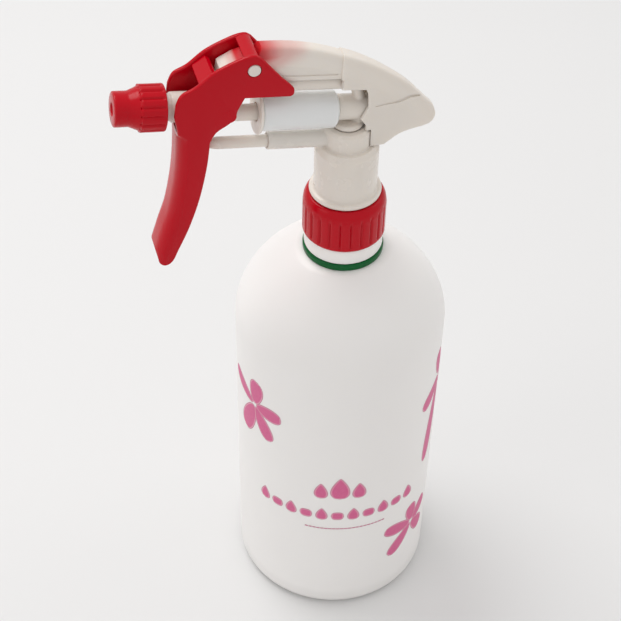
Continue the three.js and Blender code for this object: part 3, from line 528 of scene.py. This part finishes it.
def bottle():
    foot = BOTTLE_RADIUS - BASE_CORNER
    steps = 40
    heights = [BODY_HEIGHT + DOME_HEIGHT * i / steps for i in range(steps + 1)]
    outer = [(0, 0), (foot - 2, 0), *arc((foot, BASE_CORNER), BASE_CORNER, -90, 0, 10)]
    outer += [(BOTTLE_RADIUS, 20 + 18 * i) for i in range(8)]
    outer += [(dome_radius(z, 0), z) for z in heights]
    throat = RING_RADIUS - 1.8
    neck = [
        (throat, RING_FOOT),
        (throat, RING_TOP),
        (BEAD_RADIUS - 0.2, BEAD_FOOT),
        (BEAD_RADIUS, BEAD_FOOT + 0.6),
        (BEAD_RADIUS, BEAD_TOP - 0.3),
        (BEAD_RADIUS - 0.6, BEAD_TOP),
        (12.6, BEAD_TOP),
        (12.6, BOTTLE_TOP),
        (10.9, BOTTLE_TOP),
        (10.9, BODY_HEIGHT + DOME_HEIGHT - WALL),
    ]
    inner = [(max(10.9, dome_radius(z - WALL, WALL)), z - WALL) for z in reversed(heights)]
    inner += arc((foot, BASE_CORNER + 1), BASE_CORNER - WALL, 0, -90, 8)
    inner += [(0, WALL + 1)]
    return placed(lathe(outer + softened(neck, 0.25, 3, False) + inner, 160), UPRIGHT)


finished(as_object("bottle_shell", bottle()), bottle_wall, "bottle", ["bottle"], 50)

ring_profile = [
    (RING_RADIUS - 1.5, RING_FOOT),
    (RING_RADIUS - 0.15, RING_FOOT),
    (RING_RADIUS, RING_FOOT + 0.5),
    (RING_RADIUS, RING_TOP - 0.5),
    (RING_RADIUS - 0.5, RING_TOP),
    (RING_RADIUS - 1.5, RING_TOP),
]
ring = as_object("neck_band", placed(lathe(softened(ring_profile, 0.4, 4), 128), UPRIGHT))
finished(ring, green, "bottle", ["colour_ring"], 50)


# ---------------------------------------------------------------- prints
def bent_patch(outline_width, length, centre, heading, rows=44, columns=16):
    """A thin printed shape on the bottle's wall. centre is (azimuth in degrees, height), heading in
    degrees from level, and outline_width gives the half width at a share of the length."""
    made = bmesh.new()
    inset = made.verts.layers.float.new("inset")
    turn = math.radians(heading)
    sheets = []
    for lift_off in (0.05, -0.05):
        sheet = []
        for i in range(rows + 1):
            share = i / rows
            half = max(outline_width(share), 0.02)
            row = []
            for j in range(columns + 1):
                across_it = (2 * j / columns - 1) * half
                along = share * length
                level = along * math.cos(turn) - across_it * math.sin(turn)
                rise = along * math.sin(turn) + across_it * math.cos(turn)
                angle = math.radians(centre[0]) + level / BOTTLE_RADIUS
                reach = BOTTLE_RADIUS + lift_off
                vert = made.verts.new((reach * math.cos(angle), reach * math.sin(angle), centre[1] + rise))
                vert[inset] = min(half - abs(across_it), share * length, (1 - share) * length) * MM
                row.append(vert)
            sheet.append(row)
        sheets.append(sheet)
    front, back = sheets
    for i in range(rows):
        for j in range(columns):
            made.faces.new((front[i][j], front[i][j + 1], front[i + 1][j + 1], front[i + 1][j]))
            made.faces.new((back[i][j], back[i + 1][j], back[i + 1][j + 1], back[i][j + 1]))
    rim = [(0, j) for j in range(columns)] + [(i, columns) for i in range(rows)]
    rim += [(rows, j) for j in range(columns, 0, -1)] + [(i, 0) for i in range(rows, 0, -1)]
    for (i, j), (k, m) in zip(rim, rim[1:] + rim[:1]):
        made.faces.new((front[i][j], back[i][j], back[k][m], front[k][m]))
    bmesh.ops.recalc_face_normals(made, faces=made.faces)
    return made


def petal(width):
    def half_width(share):
        return width / 2 * math.sqrt(max(0.0, 1 - (2 * share - 1) ** 2)) ** 0.85 * (0.62 + 0.38 * share)

    return half_width


def printed(name, patches):
    whole = bmesh.new()
    whole.verts.layers.float.new("inset")
    for patch in patches:
        mesh = bpy.data.meshes.new(name)
        patch.to_mesh(mesh)
        patch.free()
        whole.from_mesh(mesh)
        bpy.data.meshes.remove(mesh)
    finished(as_object(name, placed(whole, UPRIGHT)), ink, "bottle", (), 60)


def flower(name, centre, petals):
    """petals are (heading in degrees, length, width)."""
    patches = []
    for heading, length, width in petals:
        start = 1.1  # the petals stop short of the middle
        azimuth = centre[0] + math.degrees(start * math.cos(math.radians(heading)) / BOTTLE_RADIUS)
        rise = centre[1] + start * math.sin(math.radians(heading))
        patches.append(bent_patch(petal(width), length, (azimuth, rise), heading))
    printed(name, patches)


flower(
    "print_flower_side",
    (-159.9, 120.7),
    [(83, 14.1, 11), (157.5, 18.8, 8.5), (-112, 20.7, 11.5), (5, 14.7, 9.5), (-58, 17.7, 10)],
)
flower(
    "print_flower_edge",
    (-30, 125),
    [(-151, 17.2, 10), (-102, 47.5, 10), (100, 16, 10), (25, 19, 9), (-45, 19, 9)],
)
flower(
    "print_flower_low",
    (-52.1, 41.7),
    [(162, 17.2, 9.5), (-135, 18.9, 9.5), (27, 13, 10.5), (-48.5, 13.9, 10), (95, 12, 9.5)],
)


def drop(width):
    """Round at the foot and drawn out to a point at the top."""
    return lambda share: width / 2 * math.sin(math.pi * min(1.0, share**0.62)) ** 0.75


def pill(width):
    return lambda share: width / 2 * math.sqrt(max(0.0, 1 - abs(2 * share - 1) ** 3))


def water_marks():
    """A row of plain beads and drops, a fine dotted line below it and three drops above."""
    middle, step, degree = -105, 9.2, BOTTLE_RADIUS * math.radians(1)
    patches = []
    for k in range(-5, 6):
        if k % 2:
            patches.append(bent_patch(drop(5.4), 8, (middle + k * step, 64.6), 90, 24, 12))
        else:
            patches.append(bent_patch(pill(5.2), 5.8, (middle + k * step - 2.9 / degree, 67.6), 0, 20, 12))
    for k in range(-10, 11):
        patches.append(bent_patch(petal(0.9), 1.6, (middle + 4 + k * 2.3, 58.5), 0, 8, 6))
    for k, size in ((-1, 10), (0, 14), (1, 10)):
        patches.append(bent_patch(drop(size * 0.62), size, (middle + 1 + k * 11, 79.5), 90, 30, 14))
    return patches


printed("print_drops", water_marks())


# ---------------------------------------------------------------- collar and neck
def collar():
    flutes = 24
    crown = 4.8
    bore = 12.6

    def groove(r, z, angle):
        if r < COLLAR_RADIUS - 1:
            return 0
        phase = (angle * flutes / (2 * math.pi)) % 1 - 0.5
        narrow = math.exp(-((phase / 0.105) ** 2))
        top = COLLAR_TOP - crown + 1.4
        low = COLLAR_FOOT + 1.5
        fade = min(1, max(0, (top - z) / 2.2)) * min(1, max(0, (z - low) / 0.4))
        return -0.62 * narrow * fade

    heights = [COLLAR_FOOT + 0.9 + (COLLAR_TOP - crown - COLLAR_FOOT - 0.9) * i / 26 for i in range(27)]
    shoulder = curve(
        [
            (COLLAR_RADIUS, COLLAR_TOP - crown),
            (COLLAR_RADIUS - 0.42, COLLAR_TOP - crown / 2),
            (COLLAR_RADIUS - 1.25, COLLAR_TOP - 0.7),
            (COLLAR_RADIUS - 1.9, COLLAR_TOP - 0.05),
        ],
        5,
    )
    profile = [(14.2, COLLAR_FOOT), (COLLAR_RADIUS - 0.35, COLLAR_FOOT), (COLLAR_RADIUS, COLLAR_FOOT + 0.35)]
    profile += [(COLLAR_RADIUS, z) for z in heights] + shoulder[1:]
    web_foot = COLLAR_TOP - 3.2
    profile += [(bore + 0.3, COLLAR_TOP), (bore, COLLAR_TOP - 0.3), (bore, web_foot), (14.2, web_foot)]
    return placed(lathe(profile, flutes * 16, groove), UPRIGHT)


finished(as_object("fluted_collar", collar()), red, "collar", ["screw_collar"], 50)


def neck():
    foot = SKIRT_FOOT
    hollow, narrow, tube = 10.8, 7.6, 12.2
    flange = NECK_FOOT + 1.6
    outside = [
        (hollow, NECK_FOOT),
        (13.3, NECK_FOOT),
        (13.3, flange),
        (tube, flange),
        (tube, foot),
        (13.7, foot),
        *curve([(14.1, foot + 0.4), (14.2, foot + 1.0), (14.15, foot + 1.6), (13.9, foot + 2.0)], 4),
        (13.3, foot + 2.2),
        (12.7, foot + 2.3),
        (12.4, foot + 2.7),
        (12.4, SKIRT_TOP),
        (10.9, UPPER_NECK_FOOT),
        (9.2, UPPER_NECK_FOOT),
        (9.2, UPPER_NECK_TOP - 1.2),
        (8.0, UPPER_NECK_TOP),
        (5.6, UPPER_NECK_TOP),
        (5.6, UPPER_NECK_TOP - 3),
        (narrow, UPPER_NECK_TOP - 3),
        (narrow, UPPER_NECK_FOOT),
        (hollow, SKIRT_TOP - 1.5),
    ]
    shell = lathe(outside, 128)
    to_upright = BARREL
    sleeve = rod((2, 0, VENT_AXIS), (29.5, 0, VENT_AXIS), 3.4, 0.3, 48)
    sleeve.transform(to_upright)
    core_top = UPPER_NECK_TOP + 1
    core = lathe([(0, SKIRT_FOOT), (narrow, SKIRT_FOOT), (narrow, core_top), (0, core_top)], 96)
    bore = rod((2, 0, VENT_AXIS), (34.5, 0, VENT_AXIS), 2.75, 0, 40)
    bore.transform(to_upright)
    sleeve = solid_of(combined("vent_sleeve", sleeve, removed=[core]))
    piece = combined("neck_skirt", shell, [sleeve], [bore])
    melted(piece, 0.28, 2)
    return settle(piece, UPRIGHT)


finished(neck(), white, "head", ["neck_body"], 60)


# ---------------------------------------------------------------- pump
def pump_body():
    low = UPPER_NECK_TOP + GAP
    disc_profile = [(0, low - 9), (5.3, low - 9), (5.3, low), (6, low), (6, low + 1)]
    disc_profile += [(5.2, low + 1.7), (0, low + 1.7)]
    disc = lathe(disc_profile, 64)
    disc.transform(BARREL.inverted())
    column_top = in_barrel(-4.3, BARREL_HEIGHT - 5)
    column_foot = in_barrel(-4.3, low + 1)
    drop_top, drop_foot = (47.5, OUTLET_AXIS - 0.7), (55, 0)

    def leg(start, end, radius, segments=48):
        return rod((start[0], 0, start[1]), (end[0], 0, end[1]), radius, 0.3, segments)

    riser = (-5.2, REAR_TUBE_AXIS), (-0.8, OUTLET_AXIS)
    stem = [(51.5, 0), (51.5, 5.5), (67.6, 5.5), (67.6, 4.9), (79, 4.9), (79, 0)]
    added = [
        leg(column_foot, column_top, 3.2),
        leg((-8.6, REAR_TUBE_AXIS), (4.7, REAR_TUBE_AXIS), 4.9),
        leg(*riser, 2.3),
        leg((-3, OUTLET_AXIS), (49, OUTLET_AXIS), 3.8),
        leg(drop_top, drop_foot, 2.5),
        lathe_along(softened(stem, 0.4), 0, 64),
    ]
    bores = [
        leg((-9.6, REAR_TUBE_AXIS), (5, REAR_TUBE_AXIS), 3.4),
        lathe_along([(56, 0), (59, 3.2), (80, 3.2), (80, 0)], 0, 48),
    ]
    piece = combined("pump_moulding", disc, added, bores)
    melted(piece, 0.30, 4)
    return settle(piece, BARREL)


finished(pump_body(), white, "head", ["pump_body"], 60)

plug_profile = [(-10.7, 0), (-10.7, 2.4), (-10.2, 3.7), (-9.3, 4.5), (-8.9, 4.6)]
plug_profile += [(-8.9, 3.1), (-7.7, 3.1), (-7.7, 0)]
plug = as_object("tube_plug", placed(lathe_along(softened(plug_profile, 0.3), REAR_TUBE_AXIS), BARREL))
finished(plug, white, "head", ["valve_plug"], 50)

cylinder_profile = [
    (5, 1.6),
    (5, 6.2),
    (5.9, 7.13),
    (33.9, 7.13),
    (33.9, 6.1),
    (6.2, 6.1),
    (6.2, 1.6),
]
tube = lathe_along(softened(cylinder_profile, 0.35), CYLINDER_AXIS, 96)
cylinder = as_object("pump_tube", placed(tube, BARREL))
finished(cylinder, milky, "head", ["pump_cylinder"], 50)


def spring(radius, wire, turns, back, front, height):
    """A coil of round wire along x."""
    steps, sides = turns * 28, 10
    rings = []
    for i in range(steps + 1):
        angle = 2 * math.pi * turns * i / steps
        x = back + wire / 2 + (front - back - wire) * i / steps
        ring = []
        for k in range(sides):
            turn = 2 * math.pi * k / sides
            reach = radius + wire / 2 * math.cos(turn)
            along = x + wire / 2 * math.sin(turn)
            ring.append((along, reach * math.cos(angle), height + reach * math.sin(angle)))
        rings.append(ring)
    return loft(rings)


SPRING_BACK, SPRING_FRONT = 6.5, 25.7
SPRING_RADIUS, SPRING_WIRE, SPRING_TURNS = 4.5, 0.9, 6
coil = spring(SPRING_RADIUS, SPRING_WIRE, SPRING_TURNS, SPRING_BACK, SPRING_FRONT, CYLINDER_AXIS)
return_coil = as_object("return_coil", placed(coil, BARREL))
finished(return_coil, steel, "head", ["return_spring"], 60)
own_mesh(return_coil)

cap_profile = [(34.2, 8.2), (35.4, 8.2), (35.4, 3.5), (32.2, 3.5), (32.2, 5.8), (34.2, 5.8)]
cap = as_object("tube_cap", placed(lathe_along(softened(cap_profile, 0.45), CYLINDER_AXIS, 96), BARREL))
finished(cap, white, "head", ["cylinder_cap"], 50)


def piston():
    x, z, radius = 47.6, -0.6, 1.5
    back, front = x - radius - 0.6, x + radius + 0.35
    foot, top = z - radius - 1.5, z + radius + 0.35
    web = 1.4
    outline = [
        (back - web, foot - web),
        (front + web, foot - web),
        (front + web, z + 0.1),
        (front - 0.4, top + web),
        (back - web, top + web),
    ]
    eye = prism(softened(outline, 0.6), -3.5, 3.5, 0.4)
    shaft = rod((31.3, 0, CYLINDER_AXIS), (back - web / 2, 0, CYLINDER_AXIS), 3.1, 0.1, 48)
    tang = rod((26, 0, CYLINDER_AXIS), (32, 0, CYLINDER_AXIS), 1.5, 0.1, 32)
    opening = prism([(back, foot), (front, foot), (front, top), (back, top)], -5, 5)
    return settle(combined("piston_stem", eye, [shaft, tang], [opening]), BARREL)


finished(piston(), white, "piston", ["piston_rod"], 40)

vent_nose = curve([(48.2, 2.35), (50.6, 2.0), (52.2, 1.25), (53, 0)], 5)
vent_profile = [(24, 0), (24, 2.35), *vent_nose]
vent = as_object("vent_stem", placed(lathe_along(vent_profile, VENT_AXIS, 48), BARREL))
finished(vent, white, "vent", ["vent_plunger"], 40)


# ---------------------------------------------------------------- nozzle
def nozzle():
    grip, nose, bore = 8.64, 6.4, 5.9
    back, grip_front, cone_front, front = 69.8, 79, 82.5, 88.25
    flutes = 16

    def flute(r, x, angle):
        if r < grip - 0.7 or x > grip_front + 0.2:
            return 0
        phase = (angle * flutes / (2 * math.pi)) % 1 - 0.5
        fade = min(1, max(0, (x - back - 0.5) / 0.5))
        return -0.5 * math.exp(-((phase / 0.13) ** 2)) * fade

    grip_line = [(back + 0.5 + (grip_front - back - 0.8) * i / 14, grip) for i in range(15)]
    outside = [(back, bore), (back, grip - 0.5), (back + 0.15, grip - 0.15), *grip_line]
    cone = [(grip_front - 0.1, grip - 0.15), (grip_front + 0.4, grip - 0.8), (cone_front, nose + 0.1)]
    tip = [(cone_front + 0.5, nose), (front - 0.9, nose), (front - 0.25, nose - 0.28), (front, nose - 0.9)]
    outside += curve(cone, 5) + curve(tip, 5)
    face = [(front, 2.6), (front - 0.5, 2.3), (front - 0.5, 0.65)]
    inside = [(front - 1.8, 0.6), (front - 1.8, 3.7), (80.2, 3.7), (80.2, bore)]
    return placed(lathe_along(outside + face + inside, 0, flutes * 12, flute), BARREL)


finished(as_object("spray_nozzle", nozzle()), red, "nozzle", ["nozzle_cap"], 40)


# ---------------------------------------------------------------- trigger
LEVER_FRONT = [(67.5, 0.4), (65.3, -9), (64.2, -26), (65, -43), (67.2, -55), (68.6, -63)]
LEVER_BACK = [(60.6, -61.5), (57.2, -50), (54.6, -36.6), (53.3, -22), (53.3, -11)]


def trigger_outline():
    hood = curve([(38.6, 24.3), (41.3, 25.4), (46.1, 24), (54.8, 19), (61, 13), (65.8, 9.8), (67.4, 5.5)])
    tip = curve([(68.6, -63), (68.3, -66), (66.6, -67.8), (64.2, -68.1), (62, -66), (60.6, -61.5)], 5)
    belly = curve([(53.3, -11), (51.4, -6.6), (47.3, -3.2), (45, -0.4), (44.6, 2.5), (42.6, 7.8)], 5)
    heel = curve([(25.9, 7.9), (24.9, 8.6), (24.6, 9.9), (25.4, 11.9), (30, 15.9)], 4)
    return hood + curve(LEVER_FRONT) + tip[1:] + curve(LEVER_BACK)[1:] + belly[1:] + heel


def rounded_grip(half_width):
    """The room the lever may fill: rounded across its front below the nozzle, and open above."""
    across_corner, along_corner = 6.0, 4.3
    rings = []
    lever = [(x, z) for x, z in curve(LEVER_FRONT) if z < -7]
    line = [(68.6, -72), *reversed(lever), (69.5, -6), (80, -4.5), (80, 40)]
    for front, z in line:
        side = []
        for k in range(9):
            angle = math.radians(90 * k / 8)
            y = half_width + 0.02 - across_corner * (1 - math.sin(angle))
            side.append((front + 0.02 - along_corner * (1 - math.cos(angle)), y))
        side.append((0, half_width + 0.02))
        rings.append([(x, y, z) for x, y in side] + [(x, -y, z) for x, y in reversed(side)])
    return loft(rings)


def trigger():
    inside, outside = 6.15, 8.15
    outline = trigger_outline()
    middle = inside + 1
    face = [(x, z) for x, z in curve(LEVER_FRONT) if z < -6]
    wall = 2.2
    wall_outline = face + [(67.4, -66.6), (65.4, -67.8), (63.4, -67.4)]
    wall_outline += [(x - wall, z) for x, z in reversed(face)]
    bridge = curve([(38.9, 23.4), (39.6, 24.7), (41.3, 25.25), (43.2, 24.9), (44.6, 24.2)], 4)
    bridge += [(44.2, 22.6), (41, 23.2)]
    rib = [(53.4, 16.6), (55.2, 17.2), (59.4, 13.4), (59.2, 11.9), (57.6, 11.6), (53.6, 15)]
    added = [
        prism(outline, inside, outside, 0.8, 4),
        prism(wall_outline, -middle, middle),
        prism(bridge, -middle, middle),
        block(53.6, 63.4, VENT_AXIS - 3.4, VENT_AXIS + 3.4, middle),
        *(block(56 + (-z - 32) * 0.16, 63.4, z - 0.8, z + 0.8, middle) for z in (-32, -45, -57)),
        rod_across(1.5, (47.6, -0.6), middle),
        *(rod((47.6, side * 7.5, 0.4), (47.6, side * 8.5, 0.4), 2.7, 0.45) for side in (-1, 1)),
        prism(softened(rib, 0.4), -middle, middle),
    ]
    pin_holes = [rod_across(2.6, PIVOT, outside + 1, 0)]
    first = prism(outline, -outside, -inside, 0.8, 4)
    piece = combined("trigger_lever", first, added, pin_holes, [rounded_grip(outside)])
    return settle(piece, BARREL)


finished(trigger(), red, "trigger", ["trigger"], 32)


def pin():
    x, z = PIVOT
    heads = [rod((x, side * 5.9, z), (x, side * 8.4, z), 2.3, 0.35, 48) for side in (-1, 1)]
    return settle(combined("hinge_pin", rod_across(1.7, PIVOT, 6.1), heads), BARREL)


finished(pin(), white, "head", ["pivot_pin"], 40)


# ---------------------------------------------------------------- shroud
CREST = [
    (-33.6, -2.6),
    (-28.9, 1.3),
    (-21.6, 7.6),
    (-12.5, 13.3),
    (-4, 17.6),
    (4.2, 20.7),
    (16, 24),
    (27, 25.5),
    (37.3, 25.6),
]


def shroud_outline():
    tail = curve([(-29.9, -10.7), (-33.6, -9.6), (-35.2, -6.6), (-33.6, -2.6)], 6)
    knuckle = arc(PIVOT, 3.2, 130, 50, 6)
    nose = [(51.2, 16.2), (51.2, 11.5), (46, 11.5), (44, 12.9)]
    throat = [(6, 12.9), (6, 8.6), (-3.4, 8.4), (-4.6, 6.3), (-5.7, 0.7), (-3.6, -4.8), (-6.2, -7.6)]
    seat = [
        in_barrel(-4.8, UPPER_NECK_TOP - 1),
        in_barrel(-4.8, UPPER_NECK_FOOT + 0.4),
        in_barrel(-12.5, UPPER_NECK_FOOT + 0.4),
    ]
    armpit = curve([(-15.9, -15.6), (-19.6, -12.6), (-24, -11.3), (-29.9, -10.7)], 6)
    return tail + curve(CREST)[1:] + knuckle + nose + throat + seat + armpit[:-1]


def eased(value, start, end):
    share = min(1.0, max(0.0, (value - start) / (end - start)))
    return share * share * (3 - 2 * share)


def shroud_half_width(x, depth):
    """Half the shroud's width at a distance along it and a depth below its crest."""
    top = 2.0 + 1.4 * eased(x, -36, 8)
    foot = 2.9 + 3.9 * eased(x, -38, -12)
    return top + (foot - top) * eased(depth, 0, 9)


def flare(inset):
    """The room the shroud may fill: narrow along its crest and tail, flaring out down its sides."""
    side = [(0.3, -0.2), (0.6, -0.1), (0.8, 0.15), (0.92, 0.55), (0.985, 1.1), (1, 1.8)]
    side += [(1, depth) for depth in (2.6, 3.4, 4.2, 5, 5.8, 6.6, 7.4, 8.2, 9, 45)]
    rings = []
    for x, z in [(-42, -10), *curve(CREST), (56, 25.6)]:
        ring = []
        for share, depth in side:
            ring.append((x, share * (shroud_half_width(x, depth) - inset), z - depth - inset))
        rings.append(ring + [(x, -y, height) for x, y, height in reversed(ring)])
    return loft(rings)


def shroud():
    front_half, rear_half, wall = 5.6, 6.6, 1.2
    outline = shroud_outline()
    rear_edge = [(7.2, 30), (6.0, 22.9), (7.0, 15), (6.3, 8.9), (6.3, -30)]
    rear_clip = prism([(-40, -30), (-40, 30), *rear_edge], -10, 10)
    rear = solid_of(combined("rear_panel", prism(outline, -rear_half, rear_half, 1.0, 4), within=[rear_clip]))
    roof = [(x, z - 2.6) for x, z in curve(CREST)]
    front_roof = [(x, z) for x, z in roof if 4 < x < 36]
    rear_roof = [(x, z) for x, z in roof if -27 < x < 5]
    front_room = front_half - wall
    rear_room = rear_half - wall - 0.1
    hollow_front = prism([*front_roof, (36, 15.6), (50, 15), (50, 8), (4, 8)], -front_room, front_room)
    rear_outline = [*rear_roof, (5, 7), (-1, 7), (-1, -24), (-14.2, -24), (-13.6, -12.4), (-24, -8.8)]
    hollow_rear = prism(rear_outline, -rear_room, rear_room)
    hollows = [
        solid_of(combined("hollow", hollow, within=[flare(wall)])) for hollow in (hollow_front, hollow_rear)
    ]
    crease = curve([(-8.2, 1.3), (-14, 3.0), (-22, 3.4), (-27.2, 2.4)], 5)
    line = crease + [(-27.2, 1.9), (-22, 2.4), (-14, 2.1), (-8.2, 0.9)]
    grooves = [solid_of(combined("crease", prism(line, -10, 10), removed=[flare(0.5)]))]
    for side in (-1, 1):
        low, high = sorted((side * (front_half - 0.35), side * (front_half + 1)))
        grooves.append(prism([(8.5, 14.8), (36, 14.8), (36, 15.5), (8.5, 15.5)], low, high))
    reach, room_foot, room_top = 9.6, UPPER_NECK_FOOT - 0.6, UPPER_NECK_TOP + 0.4
    neck_room = lathe([(0, room_foot), (reach, room_foot), (reach, room_top), (0, room_top)], 96)
    neck_room.transform(BARREL.inverted())
    pin_hole = rod_across(2.0, PIVOT, 12, 0)
    front = prism(outline, -front_half, front_half, 0.9, 4)
    front = solid_of(combined("front_panel", front, within=[flare(0.45)]))
    rear = solid_of(combined("rear_panel", rear, within=[flare(0)]))
    piece = combined("head_shroud", front, [rear], [*hollows, pin_hole, neck_room, *grooves])
    return settle(piece, BARREL)


finished(shroud(), shroud_white, "head", ["shroud"], 30)


# ---------------------------------------------------------------- carried-over CAD pieces
def kept(material, *names):
    for name in names:
        nodes[name].data.materials.clear()
        nodes[name].data.materials.append(material)
        for face in nodes[name].data.polygons:
            face.use_smooth = False


kept(white, "intake_housing", "ball_retainer", "tube_strainer", "swirl_insert")
kept(milky, "dip_tube")
kept(rubber, "neck_gasket", "piston_cup", "nozzle_seal", "vent_seal")
kept(steel, "inlet_ball", "outlet_ball", "outlet_spring")


# ---------------------------------------------------------------- studio
def floor():
    made = bmesh.new()
    reach = 4000
    bmesh.ops.create_grid(made, x_segments=8, y_segments=8, size=reach)
    sheet = as_object("floor", placed(made, UPRIGHT))
    look = Nodes("paper_sweep")
    paper = look.mix(look.noise(3, 2), (0.79, 0.785, 0.785), (0.81, 0.805, 0.80))
    look.link(paper, look.shader.inputs["Base Color"])
    look.shader.inputs["Roughness"].default_value = 0.7
    look.shader.inputs["Specular IOR Level"].default_value = 0.2
    sheet.data.materials.append(look.material)


def area_light(name, place, target, size, power, colour=(1, 1, 1)):
    light = bpy.data.lights.new(name, "AREA")
    light.shape = "DISK"
    light.size = size
    light.energy = power
    light.color = colour
    lamp = bpy.data.objects.new(name, light)
    lamp.location = place
    lamp.rotation_euler = (Vector(target) - Vector(place)).to_track_quat("-Z", "Y").to_euler()
    bpy.context.scene.collection.objects.link(lamp)


def studio():
    floor()
    area_light("overhead", (-0.35, 0.5, 1.3), (0, 0, 0.15), 0.8, 6.5)
    area_light("left", (-1.3, -0.2, 0.9), (0, 0, 0.15), 0.8, 1.4)
    area_light("right", (1.2, 0.1, 0.9), (0, 0, 0.15), 0.8, 1.0)
    world = bpy.data.worlds.new("studio")
    world.use_nodes = True
    sky = world.node_tree.nodes["Background"]
    sky.inputs["Color"].default_value = (1.0, 0.995, 0.99, 1)
    sky.inputs["Strength"].default_value = 0.74
    bpy.context.scene.world = world
    bpy.context.scene.view_settings.view_transform = "Standard"


def camera():
    place = Vector((-138.8, -412.2, 577.0)) * MM
    yaw, pitch, roll = (math.radians(a) for a in (16.98, 44.42, 1.29))
    ahead = Vector((math.sin(yaw) * math.cos(pitch), math.cos(yaw) * math.cos(pitch), -math.sin(pitch)))
    level = Vector((math.cos(yaw), -math.sin(yaw), 0))
    above = level.cross(ahead)
    right = math.cos(roll) * level + math.sin(roll) * above
    up = -math.sin(roll) * level + math.cos(roll) * above
    lens = bpy.data.cameras.new("camera")
    lens.sensor_width = 36
    lens.lens = 83.69
    lens.clip_start = 0.01
    view = bpy.data.objects.new("camera", lens)
    view.matrix_world = Matrix.Translation(place) @ Matrix((right, up, -ahead)).transposed().to_4x4()
    bpy.context.scene.collection.objects.link(view)
    bpy.context.scene.camera = view


studio()
camera()
